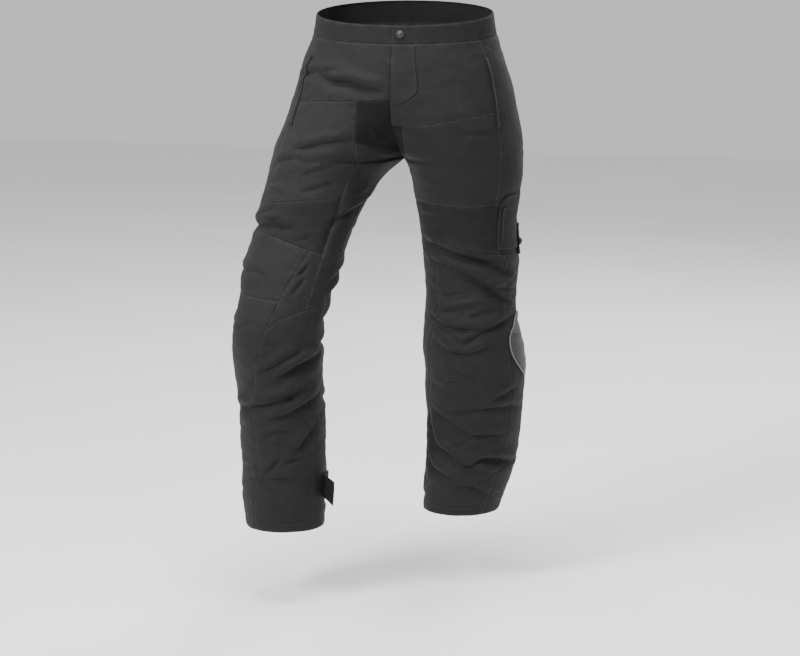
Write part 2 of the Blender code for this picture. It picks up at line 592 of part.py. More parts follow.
def make_leaf(side):
    """The leaf is widest above its middle. Its tips are cut blunt, as such a piece is sewn."""
    rows, columns = 14, 6
    share = np.linspace(LEAF_BLUNT, 1 - LEAF_BLUNT, rows + 1)[:, None]
    d = LEAF_TOP + (LEAF_LOW - LEAF_TOP) * share
    front = LEAF_TIP_W - leaf_edge(share, LEAF_FRONT_BULGE)
    back = LEAF_TIP_W + leaf_edge(share, LEAF_BACK_BULGE)
    across = np.linspace(0, 1, columns + 1)[None, :]
    laid(f"leaf_panel_{side}", side, front + (back - front) * across, d, OVERLAY, LEAF_CLOTH,
         over=HEM_OVER)
    around = girth(side, (LEAF_TOP + LEAF_LOW) / 2)
    clear = (SEAM_GAP * 2) / around
    wide = PIPING_WIDTH / around
    slope = np.gradient(front[:, 0] * around, d[:, 0])
    widen = np.sqrt(1 + slope ** 2)[:, None]
    edge = front - clear * widen
    w = np.concatenate([edge - wide * widen, edge], axis=1)
    laid(f"leaf_piping_{side}", side, w, d, PIPING_HEIGHT, PIPING, over=HEM_OVER)


def make_hem_strap(side):
    columns, rows = 8, 3
    w = np.linspace(*STRAP_W, columns + 1)[None, :]
    d = np.linspace(*STRAP_D, rows + 1)[:, None]
    free = np.clip((w - STRAP_FREE_FROM) / (STRAP_W[1] - STRAP_FREE_FROM), 0, 1)
    lift = np.broadcast_to(STRAP_STAND[side] * free ** 1.5, (rows + 1, columns + 1))
    laid(f"hem_strap_{side}", side, w, d, STRAP_THICK, STRAP, lift=lift)


def snap(name, side, place, over):
    """A low round cap that narrows to its top, square to the cloth."""
    at = worn(side, place[0], place[1])
    out = Vector(normal(side, place[0], place[1], worn))
    bm = bmesh.new()
    bmesh.ops.create_cone(bm, cap_ends=True, segments=SNAP_SIDES, radius1=SNAP_RADIUS,
                          radius2=SNAP_RADIUS * SNAP_TAPER, depth=SNAP_HEIGHT)
    rise = over + LAID_GAP + SNAP_HEIGHT / 2
    turn = out.to_track_quat("Z", "Y").to_matrix().to_4x4()
    bm.transform(Matrix.Translation(Vector(at) + out * rise) @ turn)
    return finish(name, bm, SNAP)


def start_scene():
    for thing in list(bpy.data.objects):
        bpy.data.objects.remove(thing)
    group = bpy.data.collections.new("motorcycle_trousers")
    bpy.context.scene.collection.children.link(group)


start_scene()
halves = {side: Half(side) for side in ("right", "left")}
for each_half in halves.values():
    make_panels(each_half)
make_back_waistband(halves["right"], halves["left"])
make_fly()
snap("waist_snap", "left", WAIST_SNAP_PLACE, 0.0)
make_thigh_pocket("left")
for each_side in halves:
    make_hip_zip(each_side)
    make_thigh_tab(each_side)
    make_leaf(each_side)
    make_hem_strap(each_side)
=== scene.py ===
# %% [markdown]
# # Motorcycle trousers in worn cloth
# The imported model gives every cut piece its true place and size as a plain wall. This lesson dresses
# it: each panel becomes a thin shell on the same surface, with the creases, seams, stitches and
# weave that the real cloth has. All lengths are in metres, +Z is up and the front faces -Y.

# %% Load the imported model
import math

import bpy
import numpy as np
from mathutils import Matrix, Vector, noise


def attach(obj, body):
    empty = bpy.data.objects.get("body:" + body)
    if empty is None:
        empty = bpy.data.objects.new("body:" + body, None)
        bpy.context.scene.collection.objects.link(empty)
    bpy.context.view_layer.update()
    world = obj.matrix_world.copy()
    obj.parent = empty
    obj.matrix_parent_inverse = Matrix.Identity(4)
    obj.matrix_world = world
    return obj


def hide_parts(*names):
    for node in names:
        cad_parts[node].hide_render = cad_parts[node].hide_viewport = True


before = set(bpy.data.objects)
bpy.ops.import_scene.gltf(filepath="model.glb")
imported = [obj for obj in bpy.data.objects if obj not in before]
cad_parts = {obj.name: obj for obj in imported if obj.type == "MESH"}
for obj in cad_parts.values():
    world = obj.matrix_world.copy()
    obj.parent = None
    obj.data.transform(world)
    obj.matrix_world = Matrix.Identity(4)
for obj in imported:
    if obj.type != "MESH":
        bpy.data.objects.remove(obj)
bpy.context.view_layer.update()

# %% [markdown]
# ## Sizes of cloth and seams
# The shell cloth of such trousers is a stout weave with a thin backing, a bit over a millimetre in
# all. Where two pieces are sewn, the cloth turns down into the seam and puckers beside it. These
# few sizes steer every panel, so a change of cloth is a change of one line.

# %% Name the sizes
CLOTH = 0.0013                # thickness of a panel
SEAM_GAP = 0.0003             # between two panels that are sewn together
SEAM_DIP = 0.0011             # how far the cloth turns down at a seam
SEAM_ROLL = 0.0022            # how wide that turn is
PUCKER = 0.0009               # height of the puckers beside a seam
PUCKER_REACH = 0.011
LAID_GAP = 0.0006             # between a panel and what lies on it
CROTCH = 0.270
HEM = 0.962
BAND = 0.040
TURNED_HEM = 0.015            # height of the hem that is turned up inside
HEM_STEP = 0.0005             # how far the doubled cloth of the hem stands out
SAME = 1e-6
OUTWARD = {"right": -1.0, "left": 1.0}
print("cloth", CLOTH * 1000, "mm, seams", SEAM_GAP * 1000, "mm apart")

# %% [markdown]
# ## The shape of the legs
# A tailor measures a leg round at set heights. The same is done here: each row is one section of
# one half, and smooth curves run between the rows. The right leg is set forward and turned out.

# %% Sections: depth, outer side, inner side, front, back, turn in degrees
SECTIONS = {
    "right": [
        (0.000, 0.166, -0.166, -0.118, 0.112, 0), (0.040, 0.172, -0.172, -0.122, 0.118, 0),
        (0.100, 0.194, -0.188, -0.131, 0.132, 0), (0.160, 0.212, -0.140, -0.138, 0.140, 0),
        (0.200, 0.226, -0.075, -0.144, 0.139, 0), (0.240, 0.239, -0.020, -0.150, 0.126, 0),
        (0.270, 0.246, 0.000, -0.153, 0.106, -1), (0.300, 0.251, 0.033, -0.155, 0.080, -4),
        (0.340, 0.257, 0.059, -0.164, 0.046, -9), (0.400, 0.263, 0.083, -0.182, 0.006, -17),
        (0.460, 0.283, 0.097, -0.207, -0.030, -24), (0.520, 0.282, 0.114, -0.230, -0.062, -28),
        (0.570, 0.289, 0.123, -0.240, -0.076, -30), (0.620, 0.294, 0.126, -0.234, -0.066, -32),
        (0.700, 0.289, 0.129, -0.216, -0.053, -33), (0.800, 0.287, 0.129, -0.200, -0.040, -34),
        (0.900, 0.288, 0.132, -0.189, -0.031, -35), (0.962, 0.282, 0.138, -0.180, -0.032, -36),
    ],
    "left": [
        (0.000, 0.166, -0.166, -0.118, 0.112, 0), (0.040, 0.172, -0.172, -0.122, 0.118, 0),
        (0.100, 0.192, -0.186, -0.131, 0.132, 0), (0.160, 0.207, -0.138, -0.133, 0.142, 0),
        (0.200, 0.214, -0.072, -0.127, 0.145, 0), (0.240, 0.219, -0.019, -0.116, 0.142, 0),
        (0.270, 0.220, 0.000, -0.107, 0.135, 0), (0.300, 0.220, 0.012, -0.100, 0.127, -2),
        (0.340, 0.214, 0.018, -0.086, 0.120, -4), (0.400, 0.209, 0.027, -0.074, 0.112, -6),
        (0.460, 0.214, 0.034, -0.070, 0.106, -8), (0.520, 0.209, 0.039, -0.066, 0.102, -10),
        (0.570, 0.210, 0.034, -0.064, 0.108, -11), (0.620, 0.218, 0.030, -0.060, 0.126, -13),
        (0.700, 0.221, 0.031, -0.042, 0.152, -16), (0.800, 0.210, 0.032, -0.022, 0.162, -20),
        (0.900, 0.191, 0.025, -0.006, 0.162, -24), (0.962, 0.168, 0.022, 0.006, 0.154, -26),
    ],
}
print("sections:", {side: len(rows) for side, rows in SECTIONS.items()})

# %% The rise, the seam that both halves share: depth, y of the front line, y of the back line
RISE = [
    (0.000, -0.118, 0.112), (0.040, -0.122, 0.118), (0.100, -0.131, 0.132), (0.160, -0.132, 0.137),
    (0.200, -0.116, 0.124), (0.240, -0.066, 0.078), (0.260, -0.034, 0.046), (0.270, 0.006, 0.006),
]
CROTCH_BLEND = 0.075
CENTRE_BLEND = 0.30
BEGIN_TOP, BEGIN_LOW, BEGIN_EASE = 0.10, 0.40, 0.20
WAIST_TILT, WAIST_TILT_DEPTH = 0.14, 0.16
print("rise:", len(RISE), "rows, crotch", CROTCH, "below the waist")

# %% [markdown]
# ## Where the pieces meet
# A place on the cloth has two coordinates. w goes round one half: 0 at the centre front and on the
# inseam, 0.25 at the front, 0.5 at the outer side, 0.75 at the back. d is the depth below the
# waist. A seam is a short table of such places, read off the photograph where it can be seen.

# %% Seams down the leg: depth, w
SEAMS_DOWN = {
    "right": {
        "centre": [(0.0, 0.0), (HEM, 0.0)],
        "inner": [(0.0, 0.090), (0.14, 0.092), (0.23, 0.095), (0.28, 0.110), (0.34, 0.095),
                  (0.43, 0.070), (0.52, 0.050), (0.62, 0.060), (HEM, 0.070)],
        "shin": [(0.0, 0.170), (0.30, 0.165), (0.42, 0.122), (0.47, 0.139), (0.51, 0.156),
                 (0.58, 0.186), (0.64, 0.206), (0.71, 0.230), (0.76, 0.230), (0.82, 0.218),
                 (0.88, 0.238), (HEM, 0.248)],
        "outer": [(0.0, 0.360), (0.20, 0.362), (0.33, 0.385), (0.45, 0.425), (0.60, 0.450),
                  (HEM, 0.450)],
        "back": [(0.0, 0.600), (0.25, 0.610), (0.60, 0.630), (HEM, 0.620)],
        "end": [(0.0, 1.0), (HEM, 1.0)],
    },
    "left": {
        "centre": [(0.0, 0.0), (HEM, 0.0)],
        "inner": [(0.0, 0.090), (0.10, 0.078), (0.16, 0.050), (0.20, 0.032), (0.24, 0.026),
                  (0.28, 0.028), (0.34, 0.040), (0.43, 0.052), (0.52, 0.045), (0.62, 0.050),
                  (HEM, 0.050)],
        "shin": [(0.0, 0.170), (0.30, 0.185), (0.42, 0.186), (0.49, 0.166), (0.54, 0.178),
                 (0.62, 0.150), (0.75, 0.135), (HEM, 0.135)],
        "outer": [(0.0, 0.360), (0.20, 0.356), (0.33, 0.385), (0.45, 0.430), (0.60, 0.450),
                  (HEM, 0.450)],
        "back": [(0.0, 0.600), (0.25, 0.610), (0.60, 0.650), (HEM, 0.640)],
        "end": [(0.0, 1.0), (HEM, 1.0)],
    },
}
print("lengthwise seams:", list(SEAMS_DOWN["right"]))

# %% Seams round the leg: w, depth
SEAMS_ROUND = {
    "right": {
        "top": [(0.0, 0.0), (1.0, 0.0)],
        "band": [(0.0, BAND), (1.0, BAND)],
        "hip": [(0.0, 0.150), (0.14, 0.155), (0.23, 0.157), (0.33, 0.161), (0.60, 0.160),
                (1.0, 0.150)],
        "gusset": [(0.0, CROTCH), (0.05, 0.243), (0.095, 0.228), (0.16, 0.230), (0.27, 0.245),
                   (0.50, 0.250), (0.80, 0.258), (1.0, CROTCH)],
        "stretch": [(0.0, 0.335), (0.10, 0.330), (0.21, 0.334), (0.31, 0.341), (0.50, 0.345),
                    (1.0, 0.335)],
        "knee top": [(0.0, 0.440), (0.12, 0.424), (0.18, 0.413), (0.26, 0.401), (0.34, 0.396),
                     (0.50, 0.400), (1.0, 0.440)],
        "knee low": [(0.0, 0.490), (0.07, 0.505), (0.16, 0.510), (0.22, 0.507), (0.32, 0.505),
                     (0.50, 0.505), (1.0, 0.490)],
        "branch": [(0.0, 0.525), (0.07, 0.530), (0.13, 0.543), (0.18, 0.565), (0.30, 0.575),
                   (0.50, 0.570), (1.0, 0.525)],
        "hem": [(0.0, HEM), (1.0, HEM)],
    },
    "left": {
        "top": [(0.0, 0.0), (1.0, 0.0)],
        "band": [(0.0, BAND), (1.0, BAND)],
        "hip": [(0.0, 0.200), (0.03, 0.198), (0.10, 0.195), (0.15, 0.189), (0.23, 0.181),
                (0.36, 0.172), (0.60, 0.160), (1.0, 0.150)],
        "gusset": [(0.0, CROTCH), (0.05, 0.250), (0.095, 0.240), (0.16, 0.238), (0.27, 0.245),
                   (0.50, 0.250), (0.80, 0.258), (1.0, CROTCH)],
        "stretch": [(0.0, 0.345), (0.20, 0.350), (0.31, 0.352), (0.50, 0.345), (1.0, 0.345)],
        "knee top": [(0.0, 0.425), (0.12, 0.412), (0.19, 0.416), (0.26, 0.429), (0.32, 0.439),
                     (0.42, 0.442), (0.50, 0.438), (1.0, 0.425)],
        "knee low": [(0.0, 0.510), (0.10, 0.528), (0.18, 0.533), (0.26, 0.526), (0.32, 0.522),
                     (0.50, 0.515), (1.0, 0.510)],
        "branch": [(0.0, 0.545), (0.07, 0.555), (0.13, 0.570), (0.18, 0.585), (0.30, 0.590),
                   (0.50, 0.580), (1.0, 0.545)],
        "hem": [(0.0, HEM), (1.0, HEM)],
    },
}
print("seams round the leg:", list(SEAMS_ROUND["right"]))

# %% [markdown]
# ## One surface for each half
# The legs could be tubes, but tubes meet badly at the crotch. Instead each half is one sheet of
# ellipses that open towards the centre line and ease on to the rise. Every piece is cut from it,
# so neighbours fit along their seams without any fitting.

# %% Curves through a table
def hermite(rows, key, column):
    """A smooth curve through one column of a table, read at key."""
    x = np.array([row[0] for row in rows], float)
    y = np.array([row[column] for row in rows], float)
    slope = np.gradient(y, x)
    k = np.clip(np.searchsorted(x, key, side="right") - 1, 0, len(x) - 2)
    span = x[k + 1] - x[k]
    t = np.clip((key - x[k]) / span, 0, 1)
    start = (1 + 2 * t) * (1 - t) ** 2 * y[k] + t * (1 - t) ** 2 * span * slope[k]
    return start + t * t * (3 - 2 * t) * y[k + 1] + t * t * (t - 1) * span * slope[k + 1]


def straight(rows, key):
    """A table of two columns, read between its rows."""
    return np.interp(key, [row[0] for row in rows], [row[1] for row in rows])


def smooth_step(value, low, high):
    t = np.clip((value - low) / (high - low), 0, 1)
    return t * t * (3 - 2 * t)


knee = [float(hermite(SECTIONS["right"], 0.46, column)) for column in (1, 2)]
print("right leg at the knee is", round(knee[0] - knee[1], 3), "wide")

# %% The surface of one half before any crease
def form(side, w, d):
    """The place of (w, d) on one half."""
    w, d = np.broadcast_arrays(np.asarray(w, float), np.asarray(d, float))
    out = OUTWARD[side]
    outer, inner, front, back, turn = [hermite(SECTIONS[side], d, k) for k in range(1, 6)]
    x, a = (outer + inner) / 2, (outer - inner) / 2
    y, b = (back + front) / 2, (back - front) / 2
    turn = np.radians(turn)

    def ellipse(angle):
        ahead, across = -a * np.cos(angle), -b * np.sin(angle)
        return (out * x + ahead * out * np.cos(turn) - across * np.sin(turn),
                y + ahead * out * np.sin(turn) + across * np.cos(turn))

    begin = np.where(d < CROTCH, np.arccos(np.clip(x / a, -1, 1)), 0.0)
    eased = np.pi / 2 * (1 - smooth_step(d, BEGIN_TOP, BEGIN_LOW))
    near = np.clip(1 - w / BEGIN_EASE, 0, 1) ** 2 - np.clip(1 - (1 - w) / BEGIN_EASE, 0, 1) ** 2
    px, py = ellipse(eased * (1 - 2 * w) + 2 * np.pi * w + (begin - eased) * near)
    front_x, front_y = ellipse(begin)
    back_x, back_y = ellipse(2 * np.pi - begin)
    capped = np.minimum(d, CROTCH)
    fade = np.clip(1 - (d - CROTCH) / CROTCH_BLEND, 0, 1) ** 2
    at_front = np.clip(1 - w / CENTRE_BLEND, 0, 1) ** 2 * fade
    at_back = np.clip(1 - (1 - w) / CENTRE_BLEND, 0, 1) ** 2 * fade
    centre = np.where(d < CROTCH, 0.0, out * inner)
    px = px + at_front * (centre - front_x) + at_back * (centre - back_x)
    py = (py + at_front * (hermite(RISE, capped, 1) - front_y)
          + at_back * (hermite(RISE, capped, 2) - back_y))
    tilt = WAIST_TILT * np.clip(1 - d / WAIST_TILT_DEPTH, 0, 1) ** 2
    return np.stack([px, py, -d + tilt * py], axis=-1)


def normal(side, w, d):
    """Outward directions of that surface."""
    nudge = 1e-4
    w, d = np.broadcast_arrays(np.asarray(w, float), np.asarray(d, float))
    along_w = form(side, np.minimum(w + nudge, 1), d) - form(side, np.maximum(w - nudge, 0), d)
    along_d = form(side, w, np.minimum(d + nudge, HEM)) - form(side, w, np.maximum(d - nudge, 0))
    out = np.cross(along_d, along_w) * OUTWARD[side]
    out = out / np.linalg.norm(out, axis=-1, keepdims=True)
    on_centre = (np.minimum(w, 1 - w) < SAME) & (d < CROTCH + SAME)
    out[..., 0] = np.where(on_centre, 0.0, out[..., 0])
    out[on_centre & (d > CROTCH - SAME)] = (0.0, 0.0, -1.0)
    return out / np.linalg.norm(out, axis=-1, keepdims=True)


# %% How far it is round a half at each depth
GIRTH_DEPTHS = np.linspace(0, HEM, 97)


def measure_girths(side):
    rings = form(side, np.linspace(0, 1, 97)[None, :], GIRTH_DEPTHS[:, None])
    return np.linalg.norm(np.diff(rings, axis=1), axis=2).sum(axis=1)


GIRTHS = {side: measure_girths(side) for side in SECTIONS}


def girth(side, d):
    return np.interp(d, GIRTH_DEPTHS, GIRTHS[side])


print("thigh, knee and hem girth:", [round(float(girth("left", d)), 3) for d in (0.30, 0.48, 0.95)])

# %% [markdown]
# ## Creases
# A bent knee pushes cloth into folds, and a long leg stacks it above the boot. Such folds are
# uneven: each has its own length, depth and bow. A simulation would give other folds than those
# of the photograph, so each main one is listed along a short path of (w, d) points.

# %% Creases of the right half: trough and half width in mm, lip in mm, path
CREASES = {"right": [
    (3.5, 6.0, 3.0, [(0.450, 0.127), (0.360, 0.112), (0.273, 0.104), (0.168, 0.100), (0.130, 0.106)]),
    (10.0, 8.5, 6.0, [(0.263, 0.109), (0.195, 0.119), (0.122, 0.123), (0.062, 0.132), (0.005, 0.138)]),
    (3.5, 6.0, 2.0, [(0.345, 0.122), (0.335, 0.140), (0.333, 0.158)]),
    (4.5, 6.5, 3.0, [(0.300, 0.249), (0.258, 0.243), (0.180, 0.232), (0.128, 0.228), (0.080, 0.224)]),
    (3.0, 6.0, 2.0, [(0.390, 0.281), (0.305, 0.263), (0.273, 0.261), (0.228, 0.268)]),
    (2.5, 5.0, 1.5, [(0.240, 0.289), (0.177, 0.277), (0.140, 0.271)]),
    (2.5, 5.0, 1.5, [(0.225, 0.321), (0.170, 0.311), (0.130, 0.305)]),
    (3.0, 6.0, 2.5, [(0.420, 0.377), (0.360, 0.366), (0.300, 0.353)]),
    (7.0, 7.0, 5.0, [(0.480, 0.396), (0.390, 0.386), (0.328, 0.381), (0.250, 0.385), (0.205, 0.388)]),
    (3.5, 7.0, 2.0, [(0.115, 0.318), (0.088, 0.352), (0.085, 0.390), (0.062, 0.442)]),
    (4.0, 6.5, 2.5, [(-0.060, 0.338), (0.015, 0.357), (0.068, 0.367), (0.088, 0.385)]),
    (2.5, 5.0, 1.5, [(0.128, 0.472), (0.112, 0.461), (0.098, 0.447)]),
    (2.5, 5.0, 1.5, [(0.095, 0.468), (0.104, 0.484), (0.120, 0.503)]),
    (2.5, 5.5, 1.5, [(0.175, 0.588), (0.135, 0.592), (0.105, 0.590)]),
    (6.5, 6.5, 4.5, [(0.195, 0.648), (0.133, 0.632), (0.077, 0.614), (0.030, 0.600)]),
    (10.0, 8.0, 6.0, [(0.120, 0.656), (0.060, 0.639), (0.015, 0.630), (-0.070, 0.616)]),
    (3.5, 5.5, 2.0, [(0.115, 0.691), (0.092, 0.683), (0.040, 0.664)]),
    (8.5, 7.5, 5.5, [(0.380, 0.726), (0.323, 0.724), (0.215, 0.716), (0.143, 0.707), (0.113, 0.703),
                     (0.070, 0.690), (0.010, 0.671)]),
    (4.5, 5.5, 3.0, [(0.215, 0.699), (0.150, 0.695), (0.110, 0.690), (0.065, 0.677)]),
    (7.0, 7.0, 4.5, [(0.165, 0.742), (0.083, 0.724), (0.025, 0.711), (-0.070, 0.694)]),
    (3.5, 6.0, 2.5, [(0.200, 0.782), (0.143, 0.764), (0.080, 0.759)]),
    (6.0, 7.0, 4.0, [(0.085, 0.809), (0.035, 0.787), (0.000, 0.768), (-0.035, 0.752)]),
    (4.5, 6.0, 3.0, [(0.200, 0.850), (0.173, 0.840), (0.130, 0.817), (0.110, 0.808)]),
    (3.5, 5.5, 2.0, [(0.130, 0.826), (0.080, 0.818), (0.025, 0.814)]),
    (4.5, 6.5, 3.0, [(0.260, 0.860), (0.220, 0.858), (0.147, 0.856), (0.050, 0.857)]),
]}
print("right half:", len(CREASES["right"]), "creases in view")

# %% Creases of the left half
CREASES["left"] = [
    (2.5, 6.0, 1.5, [(0.262, 0.302), (0.275, 0.311), (0.320, 0.331), (0.335, 0.342)]),
    (10.0, 8.0, 6.5, [(0.085, 0.416), (0.105, 0.420), (0.182, 0.430), (0.260, 0.443), (0.345, 0.454),
                      (0.425, 0.474), (0.470, 0.486)]),
    (4.5, 6.0, 3.0, [(0.140, 0.450), (0.165, 0.456), (0.220, 0.464), (0.285, 0.472)]),
    (9.0, 7.5, 6.0, [(0.215, 0.470), (0.247, 0.475), (0.300, 0.483), (0.357, 0.502), (0.422, 0.524),
                     (0.480, 0.540)]),
    (4.5, 6.0, 3.0, [(0.345, 0.495), (0.375, 0.501), (0.417, 0.504), (0.510, 0.514)]),
    (4.0, 6.0, 3.0, [(0.425, 0.506), (0.470, 0.521), (0.560, 0.541)]),
    (3.0, 5.5, 2.0, [(0.185, 0.556), (0.283, 0.544), (0.375, 0.532)]),
    (3.5, 6.0, 2.0, [(0.290, 0.562), (0.312, 0.559), (0.350, 0.550), (0.420, 0.544)]),
    (7.0, 6.5, 4.5, [(0.140, 0.560), (0.165, 0.567), (0.233, 0.580), (0.285, 0.584), (0.365, 0.578)]),
    (3.5, 6.0, 2.5, [(0.155, 0.577), (0.233, 0.591), (0.285, 0.613)]),
    (6.0, 6.5, 4.0, [(0.280, 0.612), (0.297, 0.607), (0.330, 0.596), (0.390, 0.579), (0.495, 0.562)]),
    (6.5, 6.5, 4.5, [(0.190, 0.615), (0.215, 0.622), (0.253, 0.631), (0.310, 0.629), (0.385, 0.610)]),
    (3.5, 6.0, 2.5, [(0.230, 0.654), (0.253, 0.662), (0.283, 0.672), (0.340, 0.673)]),
    (3.5, 6.5, 2.5, [(0.350, 0.734), (0.383, 0.727), (0.480, 0.704)]),
    (5.0, 6.5, 3.0, [(0.190, 0.762), (0.210, 0.759), (0.288, 0.751), (0.367, 0.741), (0.430, 0.742),
                     (0.540, 0.751)]),
    (5.5, 6.0, 3.5, [(0.160, 0.748), (0.182, 0.756), (0.220, 0.767), (0.302, 0.786), (0.325, 0.792)]),
    (5.0, 6.0, 3.0, [(0.240, 0.783), (0.263, 0.788), (0.328, 0.796), (0.450, 0.797)]),
    (10.0, 7.5, 6.0, [(0.130, 0.760), (0.155, 0.788), (0.193, 0.823), (0.263, 0.843), (0.330, 0.861),
                      (0.350, 0.866)]),
    (8.0, 7.0, 5.0, [(0.310, 0.866), (0.330, 0.861), (0.367, 0.848), (0.440, 0.850), (0.512, 0.858),
                     (0.560, 0.864)]),
    (3.5, 5.5, 2.0, [(0.315, 0.859), (0.355, 0.866), (0.425, 0.872)]),
    (6.5, 6.5, 4.5, [(0.120, 0.826), (0.140, 0.842), (0.190, 0.871), (0.245, 0.881), (0.345, 0.890)]),
    (4.5, 6.0, 3.0, [(0.270, 0.897), (0.295, 0.900), (0.362, 0.904), (0.460, 0.924)]),
]
print("left half:", len(CREASES["left"]), "creases in view")

# %% [markdown]
# ## Creases that no camera shows
# The back of a bent knee carries the deepest folds, and the seat and the back of the calf have
# long slack ones. The photograph doesn't show them, so they follow what such trousers do: they
# run across the hollow of the knee and fade out towards the outer side.

# %% Creases of the hidden sides
CREASES["right"] += [
    (6.0, 10.0, 4.0, [(0.965, 0.258), (0.880, 0.292), (0.780, 0.306), (0.690, 0.296)]),
    (4.5, 8.0, 3.0, [(0.900, 0.318), (0.820, 0.334), (0.720, 0.338), (0.640, 0.322)]),
    (4.0, 9.0, 3.0, [(0.560, 0.182), (0.640, 0.214), (0.720, 0.232), (0.830, 0.236)]),
    (3.5, 7.0, 2.0, [(0.600, 0.132), (0.720, 0.144), (0.830, 0.140)]),
    (5.0, 7.5, 3.5, [(0.520, 0.432), (0.600, 0.452), (0.720, 0.462), (0.820, 0.452)]),
    (10.0, 8.0, 6.5, [(0.955, 0.522), (0.880, 0.498), (0.780, 0.490), (0.690, 0.498), (0.600, 0.486)]),
    (9.0, 7.5, 5.5, [(0.920, 0.556), (0.820, 0.540), (0.740, 0.546), (0.650, 0.536), (0.590, 0.520)]),
    (6.0, 7.0, 4.0, [(0.990, 0.480), (0.930, 0.470), (0.860, 0.462)]),
    (7.5, 7.5, 5.0, [(0.940, 0.596), (0.850, 0.602), (0.760, 0.622), (0.660, 0.632), (0.590, 0.620)]),
    (4.5, 6.0, 3.0, [(0.780, 0.574), (0.700, 0.586), (0.610, 0.576)]),
    (6.5, 7.5, 4.5, [(0.900, 0.700), (0.810, 0.722), (0.700, 0.734), (0.600, 0.726), (0.520, 0.730)]),
    (5.0, 6.5, 3.5, [(0.700, 0.768), (0.620, 0.776), (0.530, 0.764), (0.470, 0.766)]),
    (6.0, 7.5, 4.0, [(0.860, 0.822), (0.780, 0.832), (0.680, 0.822), (0.590, 0.806)]),
    (4.5, 6.5, 3.0, [(0.640, 0.874), (0.560, 0.880), (0.470, 0.868), (0.400, 0.872)]),
    (4.0, 6.0, 2.5, [(0.900, 0.914), (0.800, 0.922), (0.720, 0.914)]),
]
CREASES["left"] += [
    (6.5, 10.0, 4.0, [(0.960, 0.262), (0.880, 0.296), (0.790, 0.316), (0.690, 0.312)]),
    (4.5, 8.0, 3.0, [(0.880, 0.344), (0.800, 0.352), (0.710, 0.346), (0.630, 0.330)]),
    (4.0, 9.0, 3.0, [(0.560, 0.190), (0.650, 0.216), (0.740, 0.226), (0.840, 0.222)]),
    (3.5, 7.0, 2.0, [(0.590, 0.122), (0.700, 0.130), (0.800, 0.150)]),
    (9.5, 8.0, 6.0, [(0.965, 0.468), (0.880, 0.482), (0.780, 0.502), (0.690, 0.506), (0.610, 0.494)]),
    (8.5, 7.5, 5.5, [(0.940, 0.530), (0.850, 0.534), (0.760, 0.548), (0.650, 0.544), (0.590, 0.552)]),
    (5.5, 7.0, 3.5, [(0.700, 0.456), (0.780, 0.446), (0.880, 0.434)]),
    (7.0, 7.5, 4.5, [(0.930, 0.648), (0.840, 0.636), (0.760, 0.612), (0.670, 0.604), (0.600, 0.590)]),
    (4.5, 6.0, 3.0, [(0.800, 0.582), (0.880, 0.592), (0.960, 0.588)]),
    (7.0, 7.5, 5.0, [(0.920, 0.738), (0.830, 0.752), (0.720, 0.770), (0.620, 0.764)]),
    (4.5, 6.5, 3.0, [(0.960, 0.690), (0.880, 0.682), (0.800, 0.694)]),
    (6.0, 7.5, 4.0, [(0.870, 0.832), (0.760, 0.812), (0.680, 0.802), (0.600, 0.812)]),
    (4.5, 6.0, 3.0, [(0.980, 0.796), (0.910, 0.788), (0.840, 0.796)]),
    (5.0, 6.5, 3.5, [(0.640, 0.872), (0.740, 0.886), (0.840, 0.882), (0.920, 0.870)]),
    (3.5, 6.0, 2.5, [(0.700, 0.924), (0.800, 0.932), (0.880, 0.928)]),
]
print("creases in all:", {side: len(rows) for side, rows in CREASES.items()})

# %% [markdown]
# ## Smaller creases
# Between the main folds the cloth breaks into many short shallow ones, most of all near the knee
# and the calf. They are scattered with a fixed seed, so that every run gives the same trousers.

# %% Scatter the small creases: share of them around each depth
CROWDED = [(0.20, 0.5), (0.34, 0.7), (0.45, 1.6), (0.58, 1.8), (0.70, 1.5), (0.84, 1.7), (0.93, 0.6)]
SMALL_CREASES = 105
STRAY = 0.035                 # how far in depth they scatter round each of those depths
SMALL_LENGTH = (0.030, 0.085)
SMALL_SLOPE, SMALL_BOW = 0.010, 0.003
SMALL_DEEP, SMALL_HALF = (0.7, 2.1), (3.6, 5.5)     # in mm, like the tables above


def small_creases(side, seed):
    """Short creases that lie mostly round the leg."""
    random = np.random.default_rng(seed)
    depths = random.choice([row[0] for row in CROWDED], SMALL_CREASES,
                           p=np.array([row[1] for row in CROWDED]) / sum(r[1] for r in CROWDED))
    found = []
    for middle in depths:
        d = float(np.clip(random.normal(middle, STRAY), 0.06, HEM - 0.02))
        w = float(random.uniform(0.05, 0.95))
        reach = float(random.uniform(*SMALL_LENGTH) / girth(side, d) / 2)
        slope, bow = float(random.normal(0, SMALL_SLOPE)), float(random.normal(0, SMALL_BOW))
        path = [(w - reach, d - slope), (w, d + bow), (w + reach, d + slope)]
        depth, half = float(random.uniform(*SMALL_DEEP)), float(random.uniform(*SMALL_HALF))
        found.append((depth, half, depth * 0.5, path))
    return found


for side, seed in (("right", 11), ("left", 23)):
    CREASES[side] += small_creases(side, seed)
print("creases with the small ones:", {side: len(rows) for side, rows in CREASES.items()})

# %% [markdown]
# ## The section of a crease
# Seen from its end, a crease isn't a round groove. The upper cloth bulges over it, drops steeply
# into a narrow trough, and rises slowly on the lower side. The trough wanders a little and its
# depth changes along the way, as cloth does.

# %% Follow a crease's path
SAMPLE = 0.003                # distance between the points that a path is read at
WANDER, WANDER_LENGTH = 0.0016, 0.028
STEEP, GENTLE = 0.52, 0.95    # the two sides of a trough, in half widths
UNEVEN, UNEVEN_LENGTH = 0.36, 0.035
# Columns: place and width of a lip in half widths, its height as a share of the crease's lip
UPPER_LIP, LOWER_LIP = (-2.0, 1.2, 1.0), (2.6, 1.5, 0.45)


